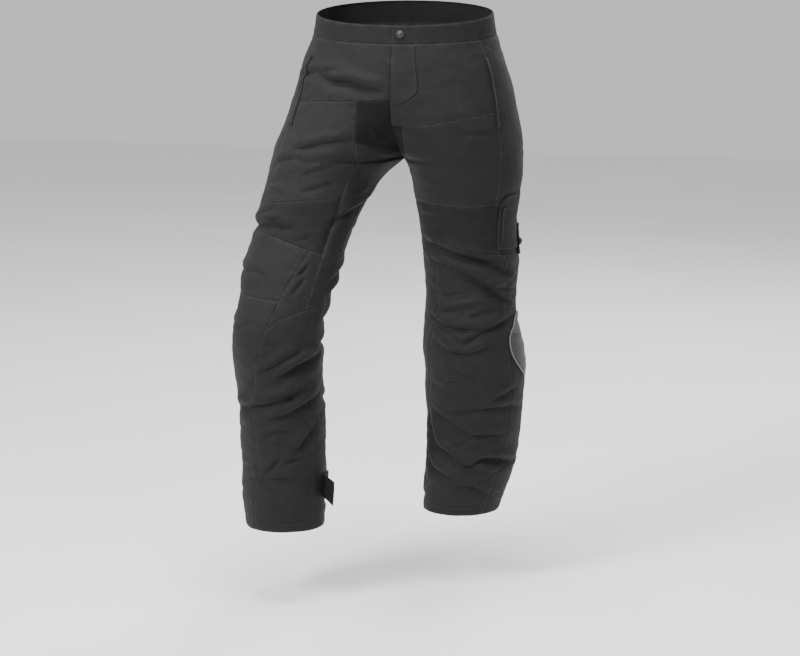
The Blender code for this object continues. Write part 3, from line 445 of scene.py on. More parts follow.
def crease_line(side, path, number):
    """A crease's line as w, d, its direction in metres, the way along it, and the girth there."""
    if path[-1][0] < path[0][0]:
        path = path[::-1]
    places = np.array(path, float)
    around = girth(side, places[:, 1])
    steps = np.hypot(np.diff(places[:, 0]) * around[:-1], np.diff(places[:, 1]))
    reach = np.concatenate([[0.0], np.cumsum(steps)])
    way = np.linspace(0, reach[-1], max(10, int(reach[-1] / SAMPLE)))
    w = hermite(np.column_stack([reach, places[:, 0]]), way, 1)
    d = hermite(np.column_stack([reach, places[:, 1]]), way, 1)
    sway = [noise.noise(Vector((step / WANDER_LENGTH, number * 3.7, 0.5))) for step in way]
    d = d + WANDER * np.array(sway)
    around = girth(side, d)
    ahead, down = np.gradient(w) * around, np.gradient(d)
    size = np.hypot(ahead, down)
    return w, d, ahead / size, down / size, way, around


def crease_depths(side, w, d):
    """How far all creases move the cloth out, in metres. A trough is negative."""
    flat_w, flat_d = w.ravel(), d.ravel()
    height = np.zeros(flat_w.shape)
    for number, (depth, half, lip, path) in enumerate(CREASES[side]):
        depth, half, lip = depth / 1000, half / 1000, lip / 1000
        cw, cd, ahead, down, way, around = crease_line(side, path, number)
        margin = 5 * half
        middle, reach = (cw.min() + cw.max()) / 2, (cw.max() - cw.min()) / 2 + margin / around.min()
        step = flat_w - middle
        below = flat_d > CROTCH
        step = np.where(below, (step + 0.5) % 1.0 - 0.5, step)
        near = (np.abs(step) < reach) & (flat_d > cd.min() - margin) & (flat_d < cd.max() + margin)
        spot = np.nonzero(near)[0]
        if len(spot) == 0:
            continue
        dx = (step[spot, None] + middle - cw[None, :]) * around[None, :]
        dy = flat_d[spot, None] - cd[None, :]
        k = np.argmin(dx ** 2 + dy ** 2, axis=1)
        row = np.arange(len(spot))
        dx, dy = dx[row, k], dy[row, k]
        off = dy * ahead[k] - dx * down[k]
        t = np.clip((way[k] + dx * ahead[k] + dy * down[k]) / way[-1], 0, 1)
        uneven = 1 + UNEVEN * np.array([noise.noise(Vector((s / UNEVEN_LENGTH, number * 1.9, 7.5)))
                                        for s in way])[k]
        taper = np.sin(np.pi * t) ** 0.65 * uneven
        u = np.abs(off) / np.where(off < 0, half * STEEP, half * GENTLE)
        trough = -depth * np.exp(-u ** 1.5)
        upper, lower = (high * lip * np.exp(-((off - at * half) / (size * half)) ** 2)
                        for at, size, high in (UPPER_LIP, LOWER_LIP))
        height[spot] += taper * (trough + upper + lower)
    return height.reshape(w.shape)


# %% [markdown]
# ## Slack and ease
# Even where nothing creases, cloth isn't as even as an ellipse. Wide low waves run over it, and
# faint wrinkles lie mostly across the leg. Both are noise read at the cloth's own place, so they
# run on from one panel to the next.

# %% Waves and wrinkles
FOLD_CLEAR = 0.015
CENTRE_HOLD = 0.03
# Columns: size across, size in height, how high they stand
WAVES = [(0.085, 0.060, 0.0030), (0.036, 0.020, 0.0010), (0.014, 0.008, 0.00035)]
GUSSET_CRINKLE = (0.0085, 0.0011)


def read_noise(points, across, down, shift):
    scaled = points / np.array([across, across, down]) + shift
    flat = [noise.noise(Vector(place)) for place in scaled.reshape(-1, 3).tolist()]
    return np.array(flat).reshape(points.shape[:-1])


def worn(side, w, d):
    """The outer face of the cloth with all its creases."""
    w, d = np.broadcast_arrays(np.asarray(w, float), np.asarray(d, float))
    plain = form(side, w, d)
    height = crease_depths(side, w, d)
    for number, (across, down, high) in enumerate(WAVES):
        height = height + high * read_noise(plain, across, down, 3.1 * number + 0.7)
    held = smooth_step(np.minimum(w, 1 - w), 0, CENTRE_HOLD)
    held = np.maximum(held, smooth_step(d, CROTCH + 0.01, CROTCH + 0.04))
    height = height * held * smooth_step(d, FOLD_CLEAR, 4 * FOLD_CLEAR)
    height = height + HEM_STEP * smooth_step(d, HEM - TURNED_HEM - 0.001, HEM - TURNED_HEM + 0.0006)
    return plain + normal(side, w, d) * height[..., None]


print("waves:", len(WAVES), "sizes")

# %% [markdown]
# ## A fine grid with lines along every seam
# The pieces could be cut out of one mesh with a knife, which leaves ragged rims. Here the grid's
# own lines bend along the seams, so a piece is simply a block of rows and columns. Two extra lines
# lie close beside each seam, where the cloth turns down into it.

# %% Lay the grid
STEPS_ROUND = {"inner": 20, "shin": 20, "outer": 48, "back": 34, "end": 62}
STEPS_DOWN = {"band": 12, "hip": 52, "gusset": 34, "stretch": 44, "knee top": 38,
              "knee low": 46, "branch": 24, "hem": 176}
BESIDE_SEAM = (0.25, 0.6)


def spaced(count):
    """Even shares from 0 to just under 1, with extra ones close to both ends."""
    step = 1 / count
    close = [share * step for share in BESIDE_SEAM]
    return np.array([0.0] + close + [k * step for k in range(1, count)] + [1 - s for s in close[::-1]])


def grid_lines(lines, steps):
    """For each grid line: the two seams that it lies between, and how far it is from the first."""
    order = list(lines)
    found, numbers = [], {order[0]: 0}
    for earlier, later in zip(order[:-1], order[1:]):
        found += [(earlier, later, share) for share in spaced(steps[later])]
        numbers[later] = len(found)
    found.append((order[-1], order[-1], 0.0))
    return found, numbers


def cut_grid(side):
    """The w and d of every grid point of one half."""
    down, around = SEAMS_DOWN[side], SEAMS_ROUND[side]
    columns, column_numbers = grid_lines(down, STEPS_ROUND)
    rows, row_numbers = grid_lines(around, STEPS_DOWN)
    w = np.tile(np.linspace(0, 1, len(columns)), (len(rows), 1))
    d = np.zeros_like(w)
    for _ in range(10):
        for k, (earlier, later, share) in enumerate(rows):
            d[k] = (straight(around[earlier], w[k]) * (1 - share)
                    + straight(around[later], w[k]) * share)
        for k, (earlier, later, share) in enumerate(columns):
            w[:, k] = (hermite(down[earlier], d[:, k], 1) * (1 - share)
                       + hermite(down[later], d[:, k], 1) * share)
    return w, d, column_numbers, row_numbers


# %% Work out both halves
def grid_normals(points, side):
    """Outward directions of a grid of points."""
    out = np.cross(np.gradient(points, axis=0), np.gradient(points, axis=1)) * OUTWARD[side]
    return out / np.maximum(np.linalg.norm(out, axis=-1, keepdims=True), 1e-12)


class Half:
    """One half of the trousers, with its seams as named grid lines."""

    def __init__(self, side):
        self.side = side
        self.w, self.d, self.columns, self.rows = cut_grid(side)
        self.points = worn(side, self.w, self.d)
        self.normals = grid_normals(self.points, side)
        below = self.d[:, 0] > CROTCH + SAME
        shared = self.normals[below, 0] + self.normals[below, -1]
        shared = shared / np.linalg.norm(shared, axis=1, keepdims=True)
        self.normals[below, 0] = shared
        self.normals[below, -1] = shared
        for column in (0, -1):
            self.normals[~below, column, 0] = 0.0
        crotch = np.argmin(np.abs(self.d[:, 0] - CROTCH))
        self.normals[crotch, 0] = self.normals[crotch, -1] = (0.0, 0.0, -1.0)
        self.normals = self.normals / np.linalg.norm(self.normals, axis=-1, keepdims=True)

    def block(self, left, right, top, low):
        """The part of the grid between two lengthwise seams and two seams round the leg."""
        rows = slice(self.rows[top], self.rows[low] + 1)
        columns = slice(self.columns[left], self.columns[right] + 1)
        return self.points[rows, columns], self.normals[rows, columns]


halves = {side: Half(side) for side in ("right", "left")}
print("grid of a half:", halves["right"].w.shape)

# %% [markdown]
# ## Finishes
# Black cloth in a white studio is never flat black: the weave scatters light, threads differ a
# little, and rubbed seams are lighter. Each finish is a small tree of nodes. The weave reads the
# piece's own UV map, which is in metres of cloth, and the wear reads its distance to the seams.

# %% Helpers for a finish
def link_node(tree, kind, **values):
    """Adds a node. A value is set on its socket, and a socket given as a value is linked."""
    made = tree.nodes.new(kind)
    for name, value in values.items():
        if hasattr(made, name):
            setattr(made, name, value)
            continue
        socket = made.inputs[int(name[6:])] if name.startswith("input_") else made.inputs[
            name.replace("_", " ")]
        if isinstance(value, bpy.types.NodeSocket):
            tree.links.new(value, socket)
        else:
            socket.default_value = value
    return made


def mixed(tree, share, low, high):
    """A colour between two others."""
    mix = tree.nodes.new("ShaderNodeMix")
    mix.data_type = "RGBA"
    tree.links.new(share, mix.inputs["Factor"])
    for socket, colour in ((mix.inputs[6], low), (mix.inputs[7], high)):
        if isinstance(colour, bpy.types.NodeSocket):
            tree.links.new(colour, socket)
        else:
            socket.default_value = (*colour, 1.0)
    return mix.outputs[2]


def ranged(tree, value, low, high, start=0.0, end=1.0):
    return link_node(tree, "ShaderNodeMapRange", Value=value, From_Min=start, From_Max=end,
                     To_Min=low, To_Max=high).outputs[0]


def sums(tree, operation, first, second):
    made = tree.nodes.new("ShaderNodeMath")
    made.operation = operation
    for socket, value in zip(made.inputs, (first, second)):
        if isinstance(value, bpy.types.NodeSocket):
            tree.links.new(value, socket)
        else:
            socket.default_value = value
    return made.outputs[0]


def threads(tree, place, pitch, direction):
    """A height that rises and falls once for each thread. A wave node repeats every 0.314 / scale."""
    return link_node(tree, "ShaderNodeTexWave", Vector=place, bands_direction=direction,
                     Scale=0.31416 / pitch, Distortion=0.4, Detail=1.0,
                     Detail_Scale=0.15).outputs["Fac"]


# %% A woven or ribbed cloth
CLOTH_GLOSS = 0.12            # black cloth of hairy yarn mirrors far less than a smooth surface
DARK_PART, PALE_PART = 0.80, 1.16


def cloth_finish(name, colour, roughness, pitch, ribs=False, grain=0.00025, sheen=0.03, light=1.5):
    """Cloth of that linear colour. pitch is the distance between threads, or between ribs."""
    made = bpy.data.materials.new(name)
    made.use_nodes = True
    tree = made.node_tree
    shader = tree.nodes["Principled BSDF"]
    place = link_node(tree, "ShaderNodeUVMap", uv_map="cloth").outputs[0]
    spot = link_node(tree, "ShaderNodeTexCoord").outputs["Object"]
    warp = threads(tree, place, pitch, "X")
    weft = threads(tree, place, pitch if not ribs else pitch * 1.6, "Y")
    weave = warp if ribs else sums(tree, "MAXIMUM", warp, weft)
    slub = link_node(tree, "ShaderNodeTexNoise", Vector=spot, Scale=55.0, Detail=5.0,
                     Roughness=0.6).outputs["Fac"]
    fine = link_node(tree, "ShaderNodeTexNoise", Vector=spot, Scale=420.0, Detail=3.0).outputs["Fac"]
    wear = link_node(tree, "ShaderNodeAttribute", attribute_name="near_seam").outputs["Fac"]
    dark = tuple(part * DARK_PART for part in colour)
    pale = tuple(part * PALE_PART for part in colour)
    rubbed = tuple(part * light for part in colour)
    tone = mixed(tree, ranged(tree, slub, 0.0, 1.0, 0.30, 0.70), dark, pale)
    tone = mixed(tree, ranged(tree, weave, 0.0, 0.35), tone, dark)
    worn_share = sums(tree, "MULTIPLY", wear, ranged(tree, slub, 0.0, 0.9, 0.35, 0.65))
    tree.links.new(mixed(tree, worn_share, tone, rubbed), shader.inputs["Base Color"])
    tree.links.new(ranged(tree, slub, roughness - 0.06, roughness + 0.08), shader.inputs["Roughness"])
    first = link_node(tree, "ShaderNodeBump", Height=weave, Strength=0.55, Distance=grain)
    second = link_node(tree, "ShaderNodeBump", Height=fine, Strength=0.35, Distance=grain * 2,
                       Normal=first.outputs[0])
    tree.links.new(second.outputs[0], shader.inputs["Normal"])
    shader.inputs["Sheen Weight"].default_value = sheen
    shader.inputs["Sheen Roughness"].default_value = 0.45
    shader.inputs["Specular IOR Level"].default_value = CLOTH_GLOSS
    return made


SHELL = cloth_finish("shell_cloth", (0.0118, 0.0118, 0.0124), 0.70, 0.0009)
STRETCH = cloth_finish("stretch_cloth", (0.0102, 0.0102, 0.0107), 0.80, 0.0016, ribs=True,
                       grain=0.0004)
# The gusset's colour is the stretch cloth's at half brightness: painted shade for the groin fold it
# lies in.
GUSSET_PAINTED_SHADE = cloth_finish("gusset_stretch_cloth", (0.0050, 0.0050, 0.0054), 0.80, 0.0016, ribs=True,
                      grain=0.0004)
BAND_CLOTH = cloth_finish("waistband_cloth", (0.0105, 0.0105, 0.0110), 0.76, 0.0008)
LEAF = cloth_finish("leaf_cloth", (0.034, 0.034, 0.036), 0.52, 0.0011, sheen=0.08, light=1.25)
STRAP = cloth_finish("strap_cloth", (0.0034, 0.0034, 0.0037), 0.68, 0.0014, ribs=True, grain=0.0004)
ZIP_TAPE = cloth_finish("zip_tape", (0.0055, 0.0055, 0.0060), 0.62, 0.0006, ribs=True)
print("cloth finishes:", [m.name for m in bpy.data.materials if m.name.endswith(("cloth", "tape"))])

# %% [markdown]
# ## Finishes that aren't cloth
# The piping is a cord with a coat of tiny glass beads, so it is pale and a bit glossy. The snaps
# are painted metal; the grey wear on their rim isn't drawn. The thread is polyester, which has a faint
# gloss.

# %% Piping, thread, zip coil and snap
def plain_finish(name, colour, roughness, scale, metallic=0.0, change=0.25, bump=0.0001):
    made = bpy.data.materials.new(name)
    made.use_nodes = True
    tree = made.node_tree
    shader = tree.nodes["Principled BSDF"]
    spot = link_node(tree, "ShaderNodeTexCoord").outputs["Object"]
    speck = link_node(tree, "ShaderNodeTexNoise", Vector=spot, Scale=scale, Detail=4.0).outputs["Fac"]
    dark = tuple(part * (1 - change) for part in colour)
    pale = tuple(part * (1 + change) for part in colour)
    tree.links.new(mixed(tree, ranged(tree, speck, 0.0, 1.0, 0.3, 0.7), dark, pale),
                   shader.inputs["Base Color"])
    tree.links.new(ranged(tree, speck, roughness - 0.08, roughness + 0.08), shader.inputs["Roughness"])
    raised = link_node(tree, "ShaderNodeBump", Height=speck, Strength=0.4, Distance=bump)
    tree.links.new(raised.outputs[0], shader.inputs["Normal"])
    shader.inputs["Metallic"].default_value = metallic
    return made


PIPING = plain_finish("piping_beads", (0.090, 0.090, 0.094), 0.42, 900.0)
THREAD = plain_finish("sewing_thread", (0.024, 0.024, 0.026), 0.60, 700.0)
COIL = plain_finish("zip_coil", (0.009, 0.009, 0.010), 0.40, 500.0)
SNAP = plain_finish("snap_paint", (0.030, 0.030, 0.032), 0.36, 160.0, metallic=0.5)
print("other finishes: piping, thread, coil, snap")

# %% [markdown]
# ## From a grid of points to a piece of cloth
# A piece of cloth has an outer face, an inner face and a rim. Solidify could add the inside, but
# here both faces are known, so they are laid directly and the rim joins them. The UV map holds the
# distance across and down the piece, which is how a pattern cutter would lay it flat.

# %% Measure a grid across and down
def distances(points):
    """Metres from the left, the right, the top and the low edge of a grid of points."""
    across = np.linalg.norm(np.diff(points, axis=1), axis=2)
    across = np.concatenate([np.zeros((len(points), 1)), np.cumsum(across, axis=1)], axis=1)
    down = np.linalg.norm(np.diff(points, axis=0), axis=2)
    down = np.concatenate([np.zeros((1, points.shape[1])), np.cumsum(down, axis=0)], axis=0)
    return across, across[:, -1:] - across, down, down[-1:] - down


def quads(numbers):
    """The faces between the points of a grid of vertex numbers."""
    corners = [numbers[:-1, :-1], numbers[:-1, 1:], numbers[1:, 1:], numbers[1:, :-1]]
    return np.stack([corner.ravel() for corner in corners], axis=1)


# %% Build a closed shell
def thin_shell(name, outer, inner, finish, wear=None):
    """A closed shell between two grids of points, which rides on the trousers' one body."""
    rows, columns = outer.shape[:2]
    top = np.arange(rows * columns).reshape(rows, columns)
    low = top + rows * columns
    rim = np.concatenate([top[0, :-1], top[:-1, -1], top[-1, :0:-1], top[:0:-1, 0], top[:1, 0]])
    wall = np.stack([rim[:-1], rim[:-1] + rows * columns, rim[1:] + rows * columns, rim[1:]], axis=1)
    faces = np.concatenate([quads(top), quads(low)[:, ::-1], wall])
    middle = rows // 2, columns // 2
    step_down = outer[middle[0], middle[1]] - outer[middle[0] - 1, middle[1]]
    step_side = outer[middle[0], middle[1]] - outer[middle[0], middle[1] - 1]
    facing = np.cross(step_side, step_down)
    if np.dot(facing, outer[middle] - inner[middle]) < 0:
        faces = faces[:, ::-1]
    mesh = bpy.data.meshes.new(name)
    mesh.from_pydata(np.concatenate([outer.reshape(-1, 3), inner.reshape(-1, 3)]).tolist(), [],
                     faces.tolist())
    across, _, down, _ = distances(outer)
    flat = np.stack([across, down], axis=-1).reshape(-1, 2)
    flat = np.concatenate([flat, flat])
    loops = np.empty(len(mesh.loops), int)
    mesh.loops.foreach_get("vertex_index", loops)
    mesh.uv_layers.new(name="cloth").data.foreach_set("uv", flat[loops].ravel())
    share = np.zeros(rows * columns) if wear is None else wear.ravel()
    mark = mesh.attributes.new("near_seam", "FLOAT", "POINT")
    mark.data.foreach_set("value", np.concatenate([share, share]).astype(np.float32))
    mesh.shade_smooth()
    mesh.materials.append(finish)
    thing = bpy.data.objects.new(name, mesh)
    bpy.context.scene.collection.objects.link(thing)
    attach(thing, "root")
    return thing


# %% [markdown]
# ## The flat cut
# A cut's size is measured, by unrolling the piece triangle by triangle and laying the tightest
# rectangle round it. The grid is thinned first, to cells that are about square, and the result is
# scaled to the true area. The last number printed for a cut is its unrolled area as a share of
# the thinned grid's, which shows how far the cloth can be laid flat.

# %% Unroll a piece flat
COARSE = 8                    # cells along the longer way, and about square ones across it
TURNS = np.radians(np.arange(0, 90, 1))     # ways to lay a rectangle round the flat piece


def third_corner(one, two, to_one, to_two, hand):
    """The flat corner at two distances from two flat corners, on the left hand or the right."""
    base = np.linalg.norm(two - one)
    along = (to_one ** 2 - to_two ** 2 + base ** 2) / (2 * base)
    aside = math.sqrt(max(to_one ** 2 - along ** 2, 0.0))
    way = (two - one) / base
    return one + way * along + hand * aside * np.array([-way[1], way[0]])


def unrolled(points):
    """The grid laid flat, triangle by triangle: its middle column first, then outwards."""
    rows, columns = points.shape[:2]
    flat = np.zeros((rows, columns, 2))

    def place(corner, one, two, hand):
        flat[corner] = third_corner(flat[one], flat[two], np.linalg.norm(points[corner] - points[one]),
                                    np.linalg.norm(points[corner] - points[two]), hand)

    spine = columns // 2
    flat[1, spine] = 0.0, -np.linalg.norm(points[1, spine] - points[0, spine])
    place((0, spine + 1), (0, spine), (1, spine), 1)
    for row in range(1, rows):
        if row > 1:
            place((row, spine), (row - 1, spine), (row - 1, spine + 1), -1)
        place((row, spine + 1), (row - 1, spine + 1), (row, spine), 1)
    for column in list(range(spine + 2, columns)) + list(range(spine - 1, -1, -1)):
        near, hand = (column - 1, 1) if column > spine else (column + 1, -1)
        for row in range(rows - 1):
            place((row, column), (row, near), (row + 1, near), hand)
        place((rows - 1, column), (rows - 1, near), (rows - 2, near), -hand)
    return flat


def cells_area(points):
    """The area of a grid's cells, flat or curved."""
    points = np.concatenate([points, np.zeros(points.shape[:2] + (3 - points.shape[2],))], axis=2)
    one = np.cross(points[1:, :-1] - points[:-1, :-1], points[:-1, 1:] - points[:-1, :-1])
    two = np.cross(points[1:, :-1] - points[1:, 1:], points[:-1, 1:] - points[1:, 1:])
    return float((np.linalg.norm(one, axis=2) + np.linalg.norm(two, axis=2)).sum() / 2)


# %% Measure the flat cut of a piece
CUTS_PER_METRE = 200          # a cut's size is rounded up to 5 mm
cuts = {}


def declare_cut(piece, outer):
    """The tightest rectangle round the piece when it is unrolled, with the cloth its creases take."""
    left, right, top, low = distances(outer)
    lengths = float((top + low).mean()), float((left + right).mean())
    picks = [np.linspace(0, count - 1, max(2, round(COARSE * length / max(lengths))) + 1)
             .round().astype(int) for count, length in zip(outer.shape[:2], lengths)]
    coarse = outer[np.ix_(*picks)]
    area, flat = cells_area(outer), unrolled(coarse)
    laid_flat = cells_area(flat) / cells_area(coarse)
    flat = flat * math.sqrt(area / cells_area(coarse))
    best = None
    for turn in TURNS:
        turned = flat.reshape(-1, 2) @ np.array([[math.cos(turn), -math.sin(turn)],
                                                 [math.sin(turn), math.cos(turn)]])
        wide, long = np.ptp(turned, axis=0)
        if best is None or wide * long < best[0] * best[1]:
            best = float(wide), float(long)
    wide, long = (math.ceil(size * CUTS_PER_METRE) / CUTS_PER_METRE for size in sorted(best))
    cuts[piece.name] = (wide, long, round(area, 4), round(laid_flat, 3))


# %% [markdown]
# ## The panels
# Each cut piece of the pattern becomes one shell. Its rim turns down into the seams and puckers
# beside them, because the stitches take up a little cloth. The gussets beside the crotch are a
# crinkled stretch cloth, which shows as a fine uneven relief. Their colour is a darker copy of the
# stretch cloth: painted shade for the groin fold that they lie in.

# %% Shape a panel's rim
def pulled_in(points):
    """Moves the rim of a grid of points inwards, square to the rim, by half the seam gap."""
    moved = points.copy()
    for rim, next_in in ((0, 1), (-1, -2)):
        for flip in (False, True):
            grid = points.swapaxes(0, 1) if flip else points
            target = moved.swapaxes(0, 1) if flip else moved
            inward = grid[next_in] - grid[rim]
            inward = inward / np.linalg.norm(inward, axis=1, keepdims=True)
            rim_way = np.gradient(grid[rim], axis=0)
            rim_way = rim_way / np.linalg.norm(rim_way, axis=1, keepdims=True)
            slant = np.sqrt(np.maximum(1 - (inward * rim_way).sum(axis=1) ** 2, 0.25))
            target[rim] += inward * (SEAM_GAP / 2 / slant)[:, None]
    return moved


def at_seams(points, crinkled):
    """How far seams move the cloth, and how near each point is to one."""
    near = np.minimum.reduce(distances(points))
    rolled = -SEAM_DIP * np.exp(-(near / SEAM_ROLL) ** 2)
    puckers = PUCKER * read_noise(points, 0.008, 0.008, 5.3) * np.exp(-near / PUCKER_REACH)
    moved = rolled + puckers
    if crinkled:
        size, high = GUSSET_CRINKLE
        moved = moved + high * read_noise(points, size, size * 0.7, 9.1) * smooth_step(near, 0, 0.008)
    return moved, np.exp(-(near / 0.0045) ** 2)


# %% Cut the panels: name, its two lengthwise seams, its upper and lower seam, cloth, how it is held
PANELS = [
    ("waistband_front", "centre", "back", "top", "band", "waistband_cloth", "laid"),
    ("hip_front", "centre", "outer", "band", "hip", "shell_cloth", "hung"),
    ("crotch_gusset", "centre", "inner", "hip", "gusset", "stretch_cloth", "stretched"),
    ("thigh_front", "inner", "outer", "hip", "stretch", "shell_cloth", "hung"),
    ("inner_thigh", "centre", "inner", "gusset", "branch", "shell_cloth", "hung"),
    ("stretch_above_knee", "inner", "outer", "stretch", "knee top", "stretch_cloth", "stretched"),
    ("inner_knee_patch", "inner", "shin", "knee top", "branch", "shell_cloth", "hung"),
    ("knee_panel", "shin", "outer", "knee top", "knee low", "shell_cloth", "hung"),
    ("shin_panel", "shin", "outer", "knee low", "hem", "shell_cloth", "hung"),
    ("inner_calf", "centre", "shin", "branch", "hem", "shell_cloth", "hung"),
    ("outer_thigh", "outer", "back", "band", "knee top", "shell_cloth", "hung"),
    ("outer_calf", "outer", "back", "knee top", "hem", "shell_cloth", "hung"),
    ("seat_and_back_thigh", "back", "end", "band", "knee top", "shell_cloth", "hung"),
    ("back_calf", "back", "end", "knee top", "hem", "shell_cloth", "hung"),
]
FINISHES = {"shell_cloth": SHELL, "stretch_cloth": STRETCH, "waistband_cloth": BAND_CLOTH,
            "leaf_cloth": LEAF, "strap_cloth": STRAP, "zip": ZIP_TAPE, "piping": PIPING,
            "snap_metal": SNAP}
faces_of = {}


def panel(name, points, normals, slot):
    """One cut piece of cloth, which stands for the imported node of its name."""
    moved, wear = at_seams(points, crinkled=name.startswith("crotch_gusset"))
    outer = pulled_in(points) + normals * moved[..., None]
    # The gusset takes the darker copy of the stretch cloth, which is painted shade.
    finish = GUSSET_PAINTED_SHADE if name.startswith("crotch_gusset") else FINISHES[slot]
    made = thin_shell(name + "_cloth", outer, outer - normals * CLOTH, finish, wear)
    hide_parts(name)
    declare_cut(made, outer)
    faces_of[name] = (outer, normals)


for half in halves.values():
    for name, left, right, top, low, slot, held in PANELS:
        points, normals = half.block(left, right, top, low)
        panel(f"{name}_{half.side}", points, normals, slot)
print("panels:", len(faces_of))

# %% The back of the waistband, one strip over both halves
points_r, normals_r = halves["right"].block("back", "end", "top", "band")
points_l, normals_l = halves["left"].block("back", "end", "top", "band")
middle = (normals_r[:, -1:] + normals_l[:, -1:]) / 2
points = np.concatenate([points_r, points_l[:, -2::-1]], axis=1)
normals = np.concatenate([normals_r[:, :-1], middle, normals_l[:, -2::-1]], axis=1)
panel("waistband_back", points, normals, "waistband_cloth")
print("waistband back:", cuts["waistband_back_cloth"])

# %% [markdown]
# ## Pieces that are sewn on top
# A pocket, a fly or a leaf is a second layer. It takes the surface of the cloth under it and lies
# a fraction of a millimetre above, with an edge that is turned under and so is a little rounded.

# %% Lay a piece on the cloth
RIM_SHARE = 0.45              # a laid piece's thickness at its rim, as a share


def laid(name, side, w, d, thickness, slot, lift=0.0, over=0.0, edge=0.0012, held="laid"):
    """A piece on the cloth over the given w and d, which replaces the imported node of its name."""
    w, d = np.broadcast_arrays(np.asarray(w, float), np.asarray(d, float))
    points = worn(side, w, d)
    normals = grid_normals(points, side)
    low = np.broadcast_to(LAID_GAP + over + np.asarray(lift, float), w.shape)[..., None]
    near = np.minimum.reduce(distances(points))
    full = np.broadcast_to(np.asarray(thickness, float), w.shape)
    crown = full * (RIM_SHARE + (1 - RIM_SHARE) * smooth_step(near, -0.0002, edge))
    outer = points + normals * (low + crown[..., None])
    made = thin_shell(name + "_cloth", outer, points + normals * low, FINISHES[slot],
                      np.exp(-(near / 0.003) ** 2))
    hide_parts(name)
    faces_of[name] = (outer, normals)
    if held:
        declare_cut(made, outer)
    return made


def patch(size, columns, rows):
    """Even w and d values over a piece given by its edges, with close lines at the rim."""
    w0, w1, d0, d1 = size[:4]
    across, down = np.append(spaced(columns), 1.0), np.append(spaced(rows), 1.0)
    return np.broadcast_arrays((w0 + (w1 - w0) * across)[None, :], (d0 + (d1 - d0) * down)[:, None])


# %% The fly: w of its two edges, upper and lower depth, thickness
FLY = (0.004, 0.078, 0.044, 0.158, 0.0012)
FLY_CURVE, FLY_FOOT = 0.030, 0.25
w, d = patch(FLY, 14, 34)
share = np.clip((d - (FLY[3] - FLY_CURVE)) / FLY_CURVE, 0, 1)
fly_w = FLY[0] + (w - FLY[0]) * (1 - (1 - FLY_FOOT) * share ** 2)
laid("fly_placket", "left", fly_w, d, FLY[4], "shell_cloth")
print("fly:", cuts["fly_placket_cloth"])

# %% Hip zips, and the pocket on the left outer thigh with its rounded upper front corner
THIGH_POCKET = (0.396, 0.505, 0.330, 0.434, 0.0016)
POCKET_ZIP = (0.402, 0.420, 0.352, 0.420, 0.0012)
HIP_ZIP = (0.334, 0.356, 0.076, 0.204, 0.0012)
POCKET_ROUND = 0.022
HEM_OVER = 0.0003             # lifts a piece a little more than LAID_GAP alone


def thigh_pocket(side):
    """The pocket, with the zip laid on it."""
    w, d = patch(THIGH_POCKET, 22, 32)
    around = girth(side, THIGH_POCKET[2])
    down = np.clip((d - THIGH_POCKET[2]) / POCKET_ROUND, 0, 1)
    corner = POCKET_ROUND / around * (1 - np.sqrt(1 - (1 - down) ** 2))
    w = w + corner * (THIGH_POCKET[1] - w) / (THIGH_POCKET[1] - THIGH_POCKET[0])
    laid(f"thigh_pocket_{side}", side, w, d, THIGH_POCKET[4], "shell_cloth", over=HEM_OVER)
    w, d = patch(POCKET_ZIP, 6, 24)
    over = THIGH_POCKET[4] + LAID_GAP + HEM_OVER
    laid(f"thigh_pocket_zip_{side}", side, w, d, POCKET_ZIP[4], "zip", over=over, edge=0.0008)


thigh_pocket("left")
for side in halves:
    w, d = patch(HIP_ZIP, 6, 40)
    laid(f"hip_zip_{side}", side, w, d, HIP_ZIP[4], "zip", edge=0.0008)
print("pockets and zips:", cuts["thigh_pocket_left_cloth"], cuts["hip_zip_left_cloth"])

# %% [markdown]
# ## The grey leaf and its piping
# At the outer knee a grey leaf of stiffer cloth is sewn on, with a pale piping along its front
# edge. The leaf's edges are two arcs between blunt tips. The piping is a half-round cord whose
# cross section is a row of the same grid, so it hugs the edge through every crease.

# %% The leaf
LEAF_TOP, LEAF_LOW, LEAF_TIP_W = 0.556, 0.690, 0.548
LEAF_FRONT_BULGE, LEAF_BACK_BULGE, LEAF_PEAK, LEAF_BLUNT = 0.092, 0.052, 0.42, 0.03
LEAF_THICK = 0.0014
PIPING_WIDTH, PIPING_HEIGHT = 0.0030, 0.0022


def leaf_edge(share, bulge):
    """How far one edge of the leaf swings out, at a share of the leaf's height."""
    bent = np.where(share < LEAF_PEAK, share / LEAF_PEAK / 2,
                    0.5 + (share - LEAF_PEAK) / (1 - LEAF_PEAK) / 2)
    return bulge * np.sin(np.pi * bent) ** 0.8


def leaf(side):
    """The leaf, and the piping along its front edge."""
    share = LEAF_BLUNT + (1 - 2 * LEAF_BLUNT) * np.append(spaced(44), 1.0)[:, None]
    d = LEAF_TOP + (LEAF_LOW - LEAF_TOP) * share
    front = LEAF_TIP_W - leaf_edge(share, LEAF_FRONT_BULGE)
    back = LEAF_TIP_W + leaf_edge(share, LEAF_BACK_BULGE)
    across = np.append(spaced(24), 1.0)[None, :]
    laid(f"leaf_panel_{side}", side, front + (back - front) * across, d, LEAF_THICK, "leaf_cloth",
         over=HEM_OVER)
    around = girth(side, (LEAF_TOP + LEAF_LOW) / 2)
    slope = np.gradient(front[:, 0] * around, d[:, 0])
    widen = np.sqrt(1 + slope ** 2)[:, None]
    edge = front - SEAM_GAP * 2 / around * widen
    round_to = np.linspace(-1, 1, 9)[None, :]
    w = edge - PIPING_WIDTH / around * widen * (1 - round_to) / 2
    high = PIPING_HEIGHT * np.sqrt(np.maximum(1 - round_to ** 2, 0.0)) + 0.0002
    laid(f"leaf_piping_{side}", side, w, d, high, "piping", over=HEM_OVER, edge=0.0, held=None)


for side in halves:
    leaf(side)
print("leaf:", cuts["leaf_panel_left_cloth"])

# %% [markdown]
# ## Straps and tabs
# A strap of stiff webbing is sewn to the back of each calf near the hem, and its free end stands
# off the leg. A shorter tab with a snap sits at the outer side above each knee.

